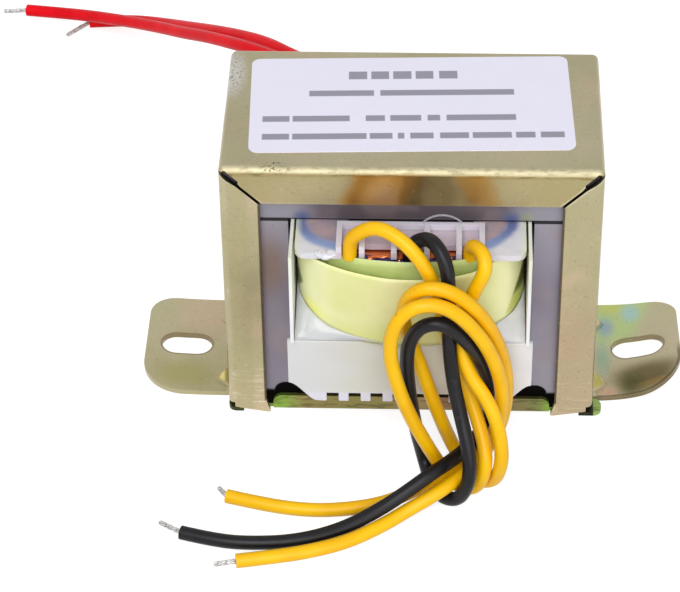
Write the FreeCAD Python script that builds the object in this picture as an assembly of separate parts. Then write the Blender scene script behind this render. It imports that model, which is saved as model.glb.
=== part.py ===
import FreeCAD, Part
import math
import os

# Laminated chassis transformer: a stack of 66 mm E and I sheets in a folded bracket with two ears
# X runs along the sheets, Y from the front to the back, Z up
# The origin lies midway between the two fixing slots, on the underside of the base plate
# All sizes are in millimetres

Vec = FreeCAD.Vector

# Core sheets
tongue_w = 22.0
window_w = 11.0
leg_w = 11.0
window_h = 33.0
yoke_h = 11.0
sheet_t = 0.5
sheet_count = 66

# Folded bracket
plate_t = 1.0
corner_r = 0.2
face_gap = 0.7
back_gap = 1.65
roof_gap = 0.2
side_flange_w = 7.1
top_flange_h = 7.6
mitre_slit = 0.4
mitre_hole_l = 3.2
mitre_hole_w = 0.95
flange_foot_rise = 1.1
flange_foot_gap = 0.2
foot_flare = 0.7
foot_flare_h = 2.6
corner_stub_h = 2.4

# Fixing ears
ear_half_w = 13.56
ear_reach = 17.1
ear_trim = 3.0
ear_bend_r = 1.0
ear_corner_r_front = 8.0
ear_corner_r_back = 5.0
ear_curl_left = 6.0
ear_curl_right_back = 14.0
ear_curl_right_front = 34.0
slot_reach = 9.3
slot_len = 9.7
slot_w = 5.8
rib_half_w = 2.6
rib_rise = 3.2
rib_run = 2.7
rib_y_front = -10.0
rib_y_back = 7.5
rib_seat = 0.1

# Base plate
base_t = 0.8
base_side_gap = 0.6
base_shift = 0.15
lip_h = 3.5
lip_end_gap = 1.05
lip_end_r = 1.6
lip_fold_share = 0.95
lug_w = 3.9
lug_reach_left = 0.1
lug_reach_right = 1.8
lug_y_gap = 0.4
lug_root = 1.0
lug_corner_r = 1.5

# Bobbin
bobbin_gap = 0.2
tube_wall = 1.2
flange_t = 1.2
middle_flange_t = 1.0
lower_room_h = 10.8
flange_reach = 10.2
top_flange_side_gap = 0.6
top_flange_inset = 0.6
flange_cut = 2.0
low_flange_r = 6.0
rail_wall_gap = 1.9
rail_wall_t = 0.7
rail_h = 1.5
rail_rib_w = 1.0
rail_rib_x = (2.9, 8.54, 12.6)
notch_depth = 2.8

# Insulating strips and wiring aprons
strip_t = 0.6
strip_gap = 0.55
strip_nose = 1.6
strip_foot_rise = 2.6
apron_t = 0.85
apron_gap = 0.1
apron_drop = 1.4
apron_corner_w = 5.4
apron_corner_h = 4.3
comb_pitch = 4.02
comb_slot_w = 2.2
comb_slot_h = 1.9
comb_slots = 8

# Windings and tapes
coil_side_gap = 1.45
coil_overhang = 11.6
coil_nose_r = 36.0
coil_corner_r = 10.0
winding_end_gap = 0.3
yellow_outer_t = 0.4
yellow_inner_t = 0.5
blue_t = 1.8
primary_tape_t = 0.4
loose_bulge = 1.7
tape_top_gap = 0.8

# Label
label_l = 58.0
label_w = 29.0
label_t = 0.15
label_r = 1.7
label_turn = 1.9
label_x = -0.4
label_y = 2.0

# Leads and the joints at their inner ends
lead_d = 2.6
tip_d = 0.8
tip_straight = 1.0
front_joint_d = 2.0
front_joint_h = 0.2
rear_joint_d = 2.0
rear_joint_l = 1.1
tail_d = 0.7
filament_d = 0.4
arc_share = 0.45

# Routes of the five leads, from the joint to the end of the insulation
# The three front leads hang in one overhand knot before they run out over the ground
yellow_left_route = [
    (-10.7, -25.3, 43.3), (-10.7, -25.3, 45.6), (-10.2, -25.7, 48.3), (-6.1, -27.0, 51.6),
    (-1.9, -29.0, 50.6), (1.6, -31.4, 48.1), (4.1, -32.4, 43.6), (5.5, -31.3, 36.8),
    (6.8, -29.9, 28.8), (8.5, -30.2, 22.2), (10.6, -32.2, 18.1), (12.2, -35.0, 14.6),
    (13.6, -38.0, 11.0), (14.0, -40.8, 8.0), (12.8, -40.2, 2.5), (9.9, -39.8, 1.3),
    (6.8, -35.7, 1.3), (3.5, -36.7, 8.7), (0.0, -37.6, 17.4), (-2.4, -38.4, 26.1),
    (-3.5, -38.7, 33.3), (-2.6, -38.8, 39.1), (0.0, -38.7, 42.6), (3.6, -38.4, 43.5),
    (7.1, -38.0, 42.1), (10.2, -37.3, 38.5), (13.3, -36.4, 33.2), (15.5, -35.2, 26.9),
    (16.7, -34.2, 20.4), (16.5, -33.6, 13.9), (15.1, -33.8, 8.0), (12.4, -37.0, 5.1),
    (8.4, -42.0, 5.3), (4.4, -45.1, 4.4), (0.4, -46.6, 2.6), (-3.8, -49.2, 1.4),
    (-10.1, -53.7, 1.3), (-17.1, -56.5, 1.3), (-24.1, -58.1, 1.3), (-30.1, -59.2, 1.3),
]
black_route = [
    (-0.1, -25.4, 43.3), (-0.1, -25.4, 45.6), (1.3, -26.3, 48.0), (3.4, -28.4, 50.0),
    (5.2, -30.6, 49.3), (6.5, -32.6, 46.9), (6.8, -33.6, 42.8), (6.9, -33.8, 36.2),
    (7.1, -34.9, 30.2), (7.9, -36.3, 23.5), (9.3, -38.3, 17.7), (10.5, -41.2, 13.9),
    (11.1, -43.2, 10.4), (10.8, -44.0, 6.3), (9.2, -43.4, 2.0), (6.2, -42.2, 1.3),
    (4.1, -38.3, 1.5), (2.8, -33.4, 2.9), (1.1, -33.7, 11.3), (0.0, -34.5, 19.9),
    (-0.5, -35.3, 27.6), (0.0, -36.2, 33.5), (2.3, -37.2, 37.8), (6.0, -37.6, 38.6),
    (9.1, -36.6, 34.9), (11.7, -34.6, 29.7), (13.9, -32.0, 22.7), (15.0, -30.3, 15.8),
    (14.4, -30.0, 9.9), (12.0, -32.4, 6.4), (8.6, -38.4, 7.8), (4.5, -42.6, 7.9),
    (0.3, -45.0, 5.8), (-4.6, -47.4, 3.4), (-11.4, -51.1, 1.7), (-19.5, -54.0, 1.3),
    (-27.9, -54.7, 1.3), (-34.1, -54.1, 1.3), (-40.4, -52.2, 1.3),
]
yellow_right_route = [
    (10.5, -25.2, 43.3), (10.5, -25.2, 45.6), (11.2, -27.1, 47.5), (12.9, -29.7, 47.7),
    (13.2, -31.7, 45.4), (11.2, -31.6, 41.0), (9.3, -31.9, 33.7), (9.1, -33.3, 28.4),
    (10.9, -35.2, 24.5), (13.4, -37.0, 21.6), (15.4, -38.6, 17.9), (16.6, -39.8, 13.0),
    (16.8, -40.7, 8.3), (15.7, -38.6, 2.4), (12.8, -37.5, 1.3), (10.3, -33.6, 1.3),
    (7.9, -29.5, 2.9), (5.4, -31.2, 11.5), (3.2, -30.8, 18.6), (1.2, -31.0, 25.6),
    (-0.8, -32.4, 32.6), (-1.3, -34.2, 39.3), (1.0, -35.8, 44.4), (4.8, -36.3, 45.5),
    (8.6, -35.9, 43.4), (12.1, -34.6, 38.7), (14.9, -32.8, 32.3), (16.7, -31.2, 25.4),
    (17.6, -30.0, 18.7), (17.4, -29.4, 11.4), (15.8, -30.3, 5.8), (12.5, -33.4, 3.9),
    (8.4, -37.6, 4.4), (4.5, -40.9, 4.5), (0.4, -42.7, 3.0), (-4.1, -43.9, 1.5),
    (-9.5, -45.3, 1.3), (-16.7, -46.1, 1.3), (-24.8, -45.0, 1.3), (-32.8, -42.6, 1.3),
]
red_near_route = [
    (-5.7, 20.4, 46.0), (-5.7, 25.0, 46.0), (-6.2, 30.5, 44.4), (-8.5, 36.5, 40.2),
    (-14.0, 42.5, 35.5), (-20.0, 48.0, 32.2), (-28.0, 54.4, 30.6), (-34.8, 61.8, 28.2),
    (-40.4, 69.4, 24.6), (-44.7, 75.5, 21.5), (-49.6, 82.1, 17.8), (-54.9, 89.5, 14.0),
    (-60.7, 96.5, 10.4), (-67.0, 102.8, 7.2), (-73.3, 108.3, 4.4), (-79.6, 112.2, 2.4),
    (-84.4, 114.2, 1.5), (-88.3, 115.0, 1.3),
]
red_far_route = [
    (0.0, 20.4, 46.0), (0.0, 25.0, 46.0), (0.0, 30.5, 44.4), (-2.0, 36.5, 39.6),
    (-7.5, 42.5, 34.6), (-15.0, 48.0, 31.0), (-24.5, 57.0, 29.2), (-30.7, 66.6, 26.0),
    (-36.0, 74.0, 22.5), (-42.0, 82.4, 18.0), (-48.2, 91.1, 13.0), (-54.5, 99.8, 8.0),
    (-59.6, 105.5, 4.8), (-64.5, 109.2, 2.6), (-69.2, 110.6, 1.5), (-73.7, 110.5, 1.3),
]

# Where each bared tip ends
yellow_left_tip = (-34.0, -59.4, 0.6)
black_tip = (-44.4, -49.4, 1.0)
yellow_right_tip = (-34.4, -40.2, 1.0)
red_near_tip = (-93.5, 114.9, 1.0)
red_far_tip = (-78.4, 106.2, 0.6)

# Copper tails that lie in the notches of the front rail, each from one end to the other
tail_runs = (
    ((-7.4, -25.7), (-4.0, -25.0)),
    ((-1.85, -26.2), (-1.85, -24.2)),
    ((4.0, -25.0), (7.4, -25.7)),
)
filament_x = 5.6
filament_half = 3.4
filament_rise = 1.6

# Sizes worked out from the ones above
core_w = tongue_w + 2 * window_w + 2 * leg_w
core_h = 2 * yoke_h + window_h
core_d = sheet_t * sheet_count
core_front = core_d / 2
core_z0 = base_t
window_z0 = core_z0 + yoke_h
joint_z = window_z0 + window_h
core_z1 = core_z0 + core_h
half_w = core_w / 2 + plate_t
half_d = core_front + face_gap + plate_t
back_y = core_front + back_gap + plate_t
frame_h = core_z1 + roof_gap + plate_t
window_half = tongue_w / 2 + window_w
slot_x = half_w + slot_reach


def box(x0, x1, y0, y1, z0, z1):
    return Part.makeBox(x1 - x0, y1 - y0, z1 - z0, Vec(x0, y0, z0))


def rectangle(half_x, half_y, z0, z1):
    return box(-half_x, half_x, -half_y, half_y, z0, z1)


def prism(points, direction):
    wire = Part.makePolygon([Vec(*p) for p in points] + [Vec(*points[0])])
    return Part.Face(wire).extrude(Vec(*direction))


def mirror_y(shape):
    return shape.mirror(Vec(0, 0, 0), Vec(0, 1, 0))


def mirror_x(shape):
    return shape.mirror(Vec(0, 0, 0), Vec(1, 0, 0))


def round_edges(shape, radius, chosen):
    edges = [edge for edge in shape.Edges if chosen(edge)]
    return shape.makeFillet(radius, edges)


def same(a, b):
    return abs(a - b) < 1e-6


def upright(edge):
    first, last = edge.Vertexes[0].Point, edge.Vertexes[-1].Point
    return same(first.x, last.x) and same(first.y, last.y)


def rounded_plate(length, width, height, radius):
    plate = box(-length / 2, length / 2, -width / 2, width / 2, 0, height)
    return round_edges(plate, radius, upright)


# Core sheets

def e_sheet(y0):
    sheet = box(-core_w / 2, core_w / 2, y0, y0 + sheet_t, core_z0, joint_z)
    for side in (-1, 1):
        x_mid = side * (tongue_w + window_w) / 2
        gap = box(x_mid - window_w / 2, x_mid + window_w / 2, y0, y0 + sheet_t, window_z0, joint_z)
        sheet = sheet.cut(gap)
    return sheet


def i_sheet(y0):
    return box(-core_w / 2, core_w / 2, y0, y0 + sheet_t, joint_z, core_z1)


def turned_over(shape):
    middle = Vec(0, 0, (core_z0 + core_z1) / 2)
    return shape.mirror(middle, Vec(0, 0, 1))


def sheet_stack(maker, first):
    starts = [-core_front + sheet_t * k for k in range(first, sheet_count, 2)]
    return [maker(y0) for y0 in starts]


# Folded bracket

def rounded_shell_block(grow, radius, bottom):
    block = box(-half_w + grow, half_w - grow, -half_d + grow, back_y - grow, bottom, frame_h - grow)

    def outside_edge(edge):
        if upright(edge):
            return True
        return all(same(v.Z, frame_h - grow) for v in edge.Vertexes)

    return round_edges(block, radius, outside_edge)


def curled_strip_wire(y, curl_deg):
    # The wall's foot turns outward round the bend, then the ear curls up along an arc
    # The strip runs past the ear's end, where the ear's outline trims it
    bend_x = half_w + ear_bend_r
    bend_z = plate_t + ear_bend_r
    length = ear_reach - ear_bend_r
    curl = math.radians(curl_deg)
    arc_r = length / curl - plate_t
    low_r = arc_r + plate_t
    end = curl * (1 + ear_trim / length)

    def on_bend(radius, angle_deg):
        angle = math.radians(angle_deg)
        return Vec(bend_x + radius * math.cos(angle), y, bend_z + radius * math.sin(angle))

    def on_curl(radius, angle):
        height = low_r - radius * math.cos(angle)
        return Vec(bend_x + radius * math.sin(angle), y, height)

    inner_top = Vec(half_w - plate_t, y, corner_stub_h)
    outer_top = Vec(half_w, y, corner_stub_h)
    edges = [
        Part.makeLine(inner_top, on_bend(ear_bend_r + plate_t, 180)),
        Part.Arc(
            on_bend(ear_bend_r + plate_t, 180),
            on_bend(ear_bend_r + plate_t, 225),
            on_bend(ear_bend_r + plate_t, 270),
        ).toShape(),
        Part.Arc(on_curl(low_r, 0), on_curl(low_r, end / 2), on_curl(low_r, end)).toShape(),
        Part.makeLine(on_curl(low_r, end), on_curl(arc_r, end)),
        Part.Arc(on_curl(arc_r, end), on_curl(arc_r, end / 2), on_curl(arc_r, 0)).toShape(),
        Part.Arc(
            on_bend(ear_bend_r, 270),
            on_bend(ear_bend_r, 225),
            on_bend(ear_bend_r, 180),
        ).toShape(),
        Part.makeLine(on_bend(ear_bend_r, 180), outer_top),
        Part.makeLine(outer_top, inner_top),
    ]
    return Part.Wire(edges)


def pressed_rib(y, curl_deg):
    # A small three-sided rib pressed into the bend between wall and ear
    low_r = (ear_reach - ear_bend_r) / math.radians(curl_deg)
    tip_x = half_w + ear_bend_r + rib_run
    tip_z = low_r - math.sqrt(low_r**2 - rib_run**2) + plate_t / 2
    root_x = half_w - rib_seat
    top = Vec(half_w - plate_t / 2, y, plate_t + ear_bend_r + rib_rise)
    tip = Vec(tip_x, y, tip_z)
    left = Vec(root_x, y - rib_half_w, plate_t)
    right = Vec(root_x, y + rib_half_w, plate_t)
    faces = []
    for corners in ((top, tip, left), (top, right, tip), (top, left, right), (tip, right, left)):
        faces.append(Part.Face(Part.makePolygon(list(corners) + [corners[0]])))
    return Part.Solid(Part.Shell(faces))


def ear(curl_front, curl_back):
    front = curled_strip_wire(-ear_half_w, curl_front)
    back = curled_strip_wire(ear_half_w, curl_back)
    strip = Part.makeLoft([front, back], True, True)
    reach = half_w + ear_reach
    tall = 2 * ear_reach
    outline = box(half_w - plate_t, reach, -ear_half_w, ear_half_w, -tall, tall)

    def front_corner(edge):
        return upright(edge) and edge.Vertexes[0].X > half_w and edge.Vertexes[0].Y < 0

    def back_corner(edge):
        return upright(edge) and edge.Vertexes[0].X > half_w and edge.Vertexes[0].Y > 0

    outline = round_edges(outline, ear_corner_r_front, front_corner)
    outline = round_edges(outline, ear_corner_r_back, back_corner)
    strip = strip.common(outline)
    for y in (rib_y_front, rib_y_back):
        share = (y + ear_half_w) / (2 * ear_half_w)
        curl = curl_front + (curl_back - curl_front) * share
        strip = strip.fuse(pressed_rib(y, curl))
    slot_r = slot_w / 2
    end = slot_len / 2 - slot_r
    slot = box(slot_x - end, slot_x + end, -slot_r, slot_r, -tall, tall)
    for x in (slot_x - end, slot_x + end):
        slot = slot.fuse(Part.makeCylinder(slot_r, 2 * tall, Vec(x, 0, -tall)))
    return strip.cut(slot)


def mitre_cut():
    # The slit runs up each flange corner at 45 degrees and ends in a long hole at the fold
    inner_x = half_w - side_flange_w
    inner_z = frame_h - top_flange_h
    depth = 3 * plate_t
    run = max(side_flange_w, top_flange_h)
    slit = box(-2 * run, 2 * run, -depth, 0, -mitre_slit / 2, mitre_slit / 2)
    hole_r = mitre_hole_w / 2
    hole = box(0, mitre_hole_l - hole_r, -depth, 0, -hole_r, hole_r)
    for x in (0, mitre_hole_l - hole_r):
        hole = hole.fuse(Part.makeCylinder(hole_r, depth, Vec(x, 0, 0), Vec(0, -1, 0)))
    slit.rotate(Vec(0, 0, 0), Vec(0, 1, 0), -45)
    hole.rotate(Vec(0, 0, 0), Vec(0, 1, 0), -45)
    slit.translate(Vec(inner_x, 0, inner_z))
    fold = plate_t + corner_r
    hole_in = mitre_hole_l * math.sin(math.radians(45)) - hole_r
    hole.translate(Vec(half_w - fold - hole_in, 0, frame_h - fold - hole_in))
    keep_in = box(0, half_w - plate_t, -depth, 0, 0, frame_h - plate_t)
    return slit.common(keep_in).fuse(hole)


def bracket():
    below = -4 * plate_t
    shell = rounded_shell_block(0, corner_r + plate_t, below)
    shell = shell.cut(rounded_shell_block(plate_t, corner_r, below - plate_t))
    inner_x = half_w - side_flange_w
    inner_z = frame_h - top_flange_h
    flare_x = inner_x - foot_flare
    opening = [
        (-flare_x, -2 * half_d, below),
        (-flare_x, -2 * half_d, flange_foot_gap),
        (-inner_x, -2 * half_d, flange_foot_gap + foot_flare_h),
        (-inner_x, -2 * half_d, inner_z),
        (inner_x, -2 * half_d, inner_z),
        (inner_x, -2 * half_d, flange_foot_gap + foot_flare_h),
        (flare_x, -2 * half_d, flange_foot_gap),
        (flare_x, -2 * half_d, below),
    ]
    shell = shell.cut(prism(opening, (0, 4 * half_d, 0)))
    for side in (-1, 1):
        front = mitre_cut() if side > 0 else mirror_x(mitre_cut())
        back = mirror_y(front)
        front.translate(Vec(0, -half_d + plate_t, 0))
        back.translate(Vec(0, back_y - plate_t, 0))
        shell = shell.cut([front, back])
    wide = 2 * half_w
    shell = shell.cut(box(-wide, wide, -ear_half_w, ear_half_w, below, corner_stub_h))
    foot_x = half_w - plate_t - corner_r
    for side in (-1, 1):
        points = [
            (side * (inner_x - plate_t), -2 * half_d, below),
            (side * (inner_x - plate_t), -2 * half_d, flange_foot_gap),
            (side * inner_x, -2 * half_d, flange_foot_gap),
            (side * foot_x, -2 * half_d, flange_foot_gap + flange_foot_rise),
            (side * foot_x, -2 * half_d, corner_stub_h),
            (side * wide, -2 * half_d, corner_stub_h),
            (side * wide, -2 * half_d, below),
        ]
        shell = shell.cut(prism(points, (0, 4 * half_d, 0)))
    right = ear(ear_curl_right_front, ear_curl_right_back)
    left = mirror_x(ear(ear_curl_left, ear_curl_left))
    return shell.fuse([right, left]).removeSplitter()


# Base plate with an upturned lip at the front and the back, and a lug at each corner

def base_plate():
    edge_x = core_w / 2 - base_side_gap
    lip_y = core_front + base_t
    lip_x = half_w - side_flange_w - lip_end_gap
    plate = box(-edge_x, edge_x, -core_front, core_front, 0, base_t)
    lug_y = ear_half_w + lug_y_gap

    def lug_corner(edge):
        return upright(edge) and edge.Vertexes[0].X > edge_x

    def lug(end_x):
        tab = box(edge_x - lug_root, end_x, lug_y, lug_y + lug_w, 0, base_t)
        root = box(edge_x - lug_root, edge_x, core_front - lug_root, lug_y + lug_w, 0, base_t)
        return round_edges(tab, lug_corner_r, lug_corner).fuse(root)

    lip = box(-lip_x, lip_x, core_front, lip_y, 0, lip_h)

    def lip_corner(edge):
        first, last = edge.Vertexes[0], edge.Vertexes[-1]
        return same(first.X, last.X) and same(first.Z, lip_h) and same(last.Z, lip_h)

    def lip_fold(edge):
        return all(same(v.Y, lip_y) and same(v.Z, 0) for v in edge.Vertexes)

    lip = round_edges(lip, lip_end_r, lip_corner)
    lip = round_edges(lip, lip_fold_share * base_t, lip_fold)
    right_lug = lug(half_w + lug_reach_right - base_shift)
    left_lug = mirror_x(lug(half_w + lug_reach_left + base_shift))
    pieces = [right_lug, left_lug, lip]
    pieces += [mirror_y(piece) for piece in pieces]
    plate = plate.fuse(pieces).removeSplitter()
    plate.translate(Vec(base_shift, 0, 0))
    return plate


# Bobbin: a tube round the tongue with three flanges, and a wiring rail on the top one at each end

bobbin_z0 = window_z0 + bobbin_gap
bobbin_z1 = joint_z - bobbin_gap
middle_z0 = bobbin_z0 + flange_t + lower_room_h
middle_z1 = middle_z0 + middle_flange_t
top_flange_z0 = bobbin_z1 - flange_t
tube_half_x = tongue_w / 2 + bobbin_gap + tube_wall
tube_half_y = core_front + bobbin_gap + tube_wall
strip_inner = window_half - strip_gap - strip_t
flange_half_x = strip_inner - apron_gap
reach_y = core_front + flange_reach
inner_reach_y = reach_y - apron_t - apron_gap
top_reach_y = reach_y - top_flange_inset
rail_wall_y = core_front + bobbin_gap + rail_wall_gap


def rail():
    # Seen from the front: a low wall near the core, and six ribs out to the flange's edge
    end_x = rail_rib_x[-1] + rail_rib_w / 2
    rail_top = bobbin_z1 + rail_h
    root = bobbin_z1 - flange_t / 2
    wall = box(-end_x, end_x, -rail_wall_y - rail_wall_t, -rail_wall_y, root, rail_top)
    half_rib = rail_rib_w / 2
    centres = [side * x for x in rail_rib_x for side in (-1, 1)]
    span = (-top_reach_y, -rail_wall_y, root, rail_top)
    ribs = [box(x - half_rib, x + half_rib, *span) for x in centres]
    return wall.fuse(ribs)


def rail_rooms():
    # The gaps between neighbouring ribs, from left to right
    centres = sorted([side * x for x in rail_rib_x for side in (-1, 1)])
    return [(a + rail_rib_w / 2, b - rail_rib_w / 2) for a, b in zip(centres, centres[1:])]


def bobbin():
    body = rectangle(tube_half_x, tube_half_y, bobbin_z0, bobbin_z1)
    low = rectangle(flange_half_x, inner_reach_y, bobbin_z0, bobbin_z0 + flange_t)
    low = round_edges(low, low_flange_r, upright)
    middle = rectangle(flange_half_x, inner_reach_y, middle_z0, middle_z1)
    top_half_x = flange_half_x - top_flange_side_gap / 2
    top = rectangle(top_half_x, top_reach_y, top_flange_z0, bobbin_z1)
    top = round_edges(top, flange_cut, upright)
    body = body.fuse([low, middle, top, rail(), mirror_y(rail())])
    for x0, x1 in rail_rooms():
        notch = box(x0, x1, -reach_y, -top_reach_y + notch_depth, top_flange_z0, bobbin_z1)
        body = body.cut([notch, mirror_y(notch)])
    hole_x = tongue_w / 2 + bobbin_gap
    hole_y = core_front + bobbin_gap
    body = body.cut(rectangle(hole_x, hole_y, 0, frame_h))
    return body.removeSplitter()


# Insulating strips between the coil and the outer legs

def side_strip():
    lower_y = inner_reach_y
    upper_y = reach_y + strip_nose / 2
    foot_z = bobbin_z0 + strip_foot_rise
    points = [
        (strip_inner, -lower_y, foot_z),
        (strip_inner, lower_y, foot_z),
        (strip_inner, lower_y, middle_z1),
        (strip_inner, upper_y, middle_z1),
        (strip_inner, upper_y, bobbin_z1),
        (strip_inner, -upper_y, bobbin_z1),
        (strip_inner, -upper_y, middle_z1),
        (strip_inner, -lower_y, middle_z1),
    ]
    return prism(points, (strip_t, 0, 0))


# Wiring aprons: a panel over the lower winding, with a comb along its foot

def apron():
    side_x = window_half + apron_gap
    top_z = middle_z1 - apron_gap
    foot_z = bobbin_z0 - apron_drop
    points = [
        (-side_x, -reach_y, top_z),
        (side_x, -reach_y, top_z),
        (side_x, -reach_y, foot_z + apron_corner_h),
        (side_x - apron_corner_w, -reach_y, foot_z),
        (-side_x + apron_corner_w, -reach_y, foot_z),
        (-side_x, -reach_y, foot_z + apron_corner_h),
    ]
    panel = prism(points, (0, apron_t, 0))
    for k in range(comb_slots):
        x = (k - (comb_slots - 1) / 2) * comb_pitch
        left = x - comb_slot_w / 2
        gap = box(left, left + comb_slot_w, -2 * reach_y, 0, foot_z - comb_slot_h, foot_z + comb_slot_h)
        panel = panel.cut(gap)
    return panel


# Windings and their tapes share one outline: flat sides, round corners and a swollen nose at each end

def coil_end(z, inset, bulge, sign):
    side_x = window_half - coil_side_gap - inset
    corner_r = coil_corner_r - inset
    nose_r = coil_nose_r - inset
    end_y = core_front + coil_overhang - inset + bulge
    corner_x = side_x - corner_r
    nose_y = end_y - nose_r
    corner_y = nose_y + math.sqrt((nose_r - corner_r)**2 - corner_x**2)
    steep = math.atan2(corner_y - nose_y, corner_x)

    def on_corner(angle, side):
        x = side * (corner_x + corner_r * math.cos(angle))
        return Vec(-sign * x, sign * (corner_y + corner_r * math.sin(angle)), z)

    nose = Vec(0, sign * end_y, z)
    return [
        (on_corner(0, 1), on_corner(steep / 2, 1), on_corner(steep, 1)),
        (on_corner(steep, 1), nose, on_corner(steep, -1)),
        (on_corner(steep, -1), on_corner(steep / 2, -1), on_corner(0, -1)),
    ]


def coil_outline(z, inset=0.0, front_bulge=0.0):
    back = coil_end(z, inset, 0.0, 1)
    front = coil_end(z, inset, front_bulge, -1)
    edges = [Part.Arc(*points).toShape() for points in back]
    edges.append(Part.makeLine(back[-1][-1], front[0][0]))
    edges += [Part.Arc(*points).toShape() for points in front]
    edges.append(Part.makeLine(front[-1][-1], back[0][0]))
    return Part.Wire(edges)


def filled(wire, height):
    return Part.Face(wire).extrude(Vec(0, 0, height))


def ring(outer_inset, inner_inset, z0, z1):
    outer = filled(coil_outline(z0, outer_inset), z1 - z0)
    return outer.cut(filled(coil_outline(z0, inner_inset), z1 - z0))


def winding(outer_inset, z0, z1):
    coil = filled(coil_outline(z0, outer_inset), z1 - z0)
    return coil.cut(rectangle(tube_half_x, tube_half_y, z0, z1))


upper_z1 = top_flange_z0 - winding_end_gap
tape_z1 = top_flange_z0 - tape_top_gap
outer_in = yellow_outer_t + apron_gap / 2
inner_in = outer_in + yellow_inner_t
blue_in = inner_in + blue_t
lower_z0 = bobbin_z0 + flange_t
lower_z1 = middle_z0 - winding_end_gap
primary_in = coil_overhang - flange_reach + apron_t + 2 * apron_gap + primary_tape_t / 2


def loose_tape():
    def block(inset):
        low = coil_outline(middle_z1, inset)
        high = coil_outline(tape_z1, inset, loose_bulge)
        return Part.makeLoft([low, high], True, True)

    return block(0).cut(block(yellow_outer_t))


# Label on the top of the bracket

def label():
    sheet = rounded_plate(label_l, label_w, label_t, label_r)
    sheet.rotate(Vec(0, 0, 0), Vec(0, 0, 1), label_turn)
    sheet.translate(Vec(label_x, label_y, frame_h))
    return sheet


# Leads: each is a tube along straight runs joined by arcs that touch them

def rounded_path(points):
    # Each arc takes the same share of its shorter run, so that the next arc still has room
    knots = [Vec(*p) for p in points]
    edges = []
    radii = []
    here = knots[0]
    for before, corner, after in zip(knots, knots[1:], knots[2:]):
        back = before - corner
        ahead = after - corner
        shorter = min(back.Length, ahead.Length)
        half_turn = (math.pi - back.getAngle(ahead)) / 2
        back.normalize()
        ahead.normalize()
        reach = arc_share * shorter
        radius = reach / math.tan(half_turn)
        start = corner + back * reach
        end = corner + ahead * reach
        centre = corner + (back + ahead).normalize() * (radius / math.cos(half_turn))
        middle = centre + (corner - centre).normalize() * radius
        edges.append(Part.makeLine(here, start))
        edges.append(Part.Arc(start, middle, end).toShape())
        radii.append(radius)
        here = end
    edges.append(Part.makeLine(here, knots[-1]))
    return Part.Wire(edges), min(radii)


def tube(name, points, diameter):
    path, smallest = rounded_path(points)
    first = Vec(*points[0])
    circle = Part.makeCircle(diameter / 2, first, Vec(*points[1]) - first)
    solid = path.makePipe(Part.Face(Part.Wire(circle)))
    swept = math.pi * diameter**2 / 4 * path.Length
    print(f"{name}: length {path.Length:.1f} smallest radius {smallest:.2f}", end=" ")
    print(f"volume over section times length {solid.Volume / swept:.5f}")
    return solid


def tip(name, route, tip_end):
    # The bared strands leave square to the insulation's end, then droop to the ground
    last = Vec(*route[-1])
    heading = (last - Vec(*route[-2])).normalize()
    turn = last + heading * tip_straight
    return tube(name, [tuple(last), tuple(turn), tip_end], tip_d)


def lead_joints():
    # A tinned joint under each front lead, and one behind the end of each red lead
    joints = []
    for route in (yellow_left_route, black_route, yellow_right_route):
        x, y, _ = route[0]
        joints.append(Part.makeCylinder(front_joint_d / 2, front_joint_h, Vec(x, y, upper_z1)))
    for route in (red_near_route, red_far_route):
        seat = Vec(route[0][0], rail_wall_y + rail_wall_t, bobbin_z1 + rear_joint_d / 2)
        joints.append(Part.makeCylinder(rear_joint_d / 2, rear_joint_l, seat, Vec(0, 1, 0)))
    return joints


def winding_tails():
    tails = []
    for ends in tail_runs:
        a, b = [Vec(x, y, upper_z1 + tail_d / 2) for x, y in ends]
        tails.append(Part.makeCylinder(tail_d / 2, (b - a).Length, a, b - a))
    return tails


def loose_filament():
    # A stray bow of clear filament that stands on the wall of the front rail
    y = -rail_wall_y - rail_wall_t / 2
    z = bobbin_z1 + rail_h + filament_d / 2
    left = Vec(filament_x - filament_half, y, z)
    top = Vec(filament_x, y, z + filament_rise)
    right = Vec(filament_x + filament_half, y, z)
    bow = Part.Arc(left, top, right).toShape()
    circle = Part.makeCircle(filament_d / 2, left, bow.tangentAt(bow.FirstParameter))
    return Part.Wire([bow]).makePipe(Part.Face(Part.Wire(circle)))


def save(name, shape):
    solids = shape if isinstance(shape, list) else shape.Solids
    result = solids[0] if len(solids) == 1 else Part.makeCompound(solids)
    result.exportStep("parts/" + name + ".step")
    limits = result.BoundBox
    print(f"{name}: solids {len(solids)} valid {result.isValid()} volume {result.Volume:.2f}", end=" ")
    print(f"x {limits.XMin:.1f} {limits.XMax:.1f} y {limits.YMin:.1f} {limits.YMax:.1f}", end=" ")
    print(f"z {limits.ZMin:.1f} {limits.ZMax:.1f}")


os.makedirs("parts", exist_ok=True)
e_up = sheet_stack(e_sheet, 0)
i_top = sheet_stack(i_sheet, 0)
save("e_sheets_upright", e_up)
save("i_sheets_top", i_top)
save("e_sheets_inverted", [turned_over(s) for s in sheet_stack(e_sheet, 1)])
save("i_sheets_bottom", [turned_over(s) for s in sheet_stack(i_sheet, 1)])
save("bracket", bracket())
save("base_plate", base_plate())
save("bobbin", bobbin())
save("strip_right", side_strip())
save("strip_left", mirror_x(side_strip()))
save("apron_front", apron())
save("apron_back", mirror_y(apron()))
save("primary_winding", winding(primary_in + primary_tape_t, lower_z0, lower_z1))
save("primary_tape", ring(primary_in, primary_in + primary_tape_t, lower_z0, lower_z1))
save("secondary_winding", winding(blue_in, middle_z1, upper_z1))
save("blue_tape", ring(inner_in, blue_in, middle_z1, upper_z1))
save("yellow_tape_inner", ring(outer_in, inner_in, middle_z1, tape_z1))
save("yellow_tape_outer", loose_tape())
save("label", label())
save("lead_joints", lead_joints())
save("winding_tails", winding_tails())
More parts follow.
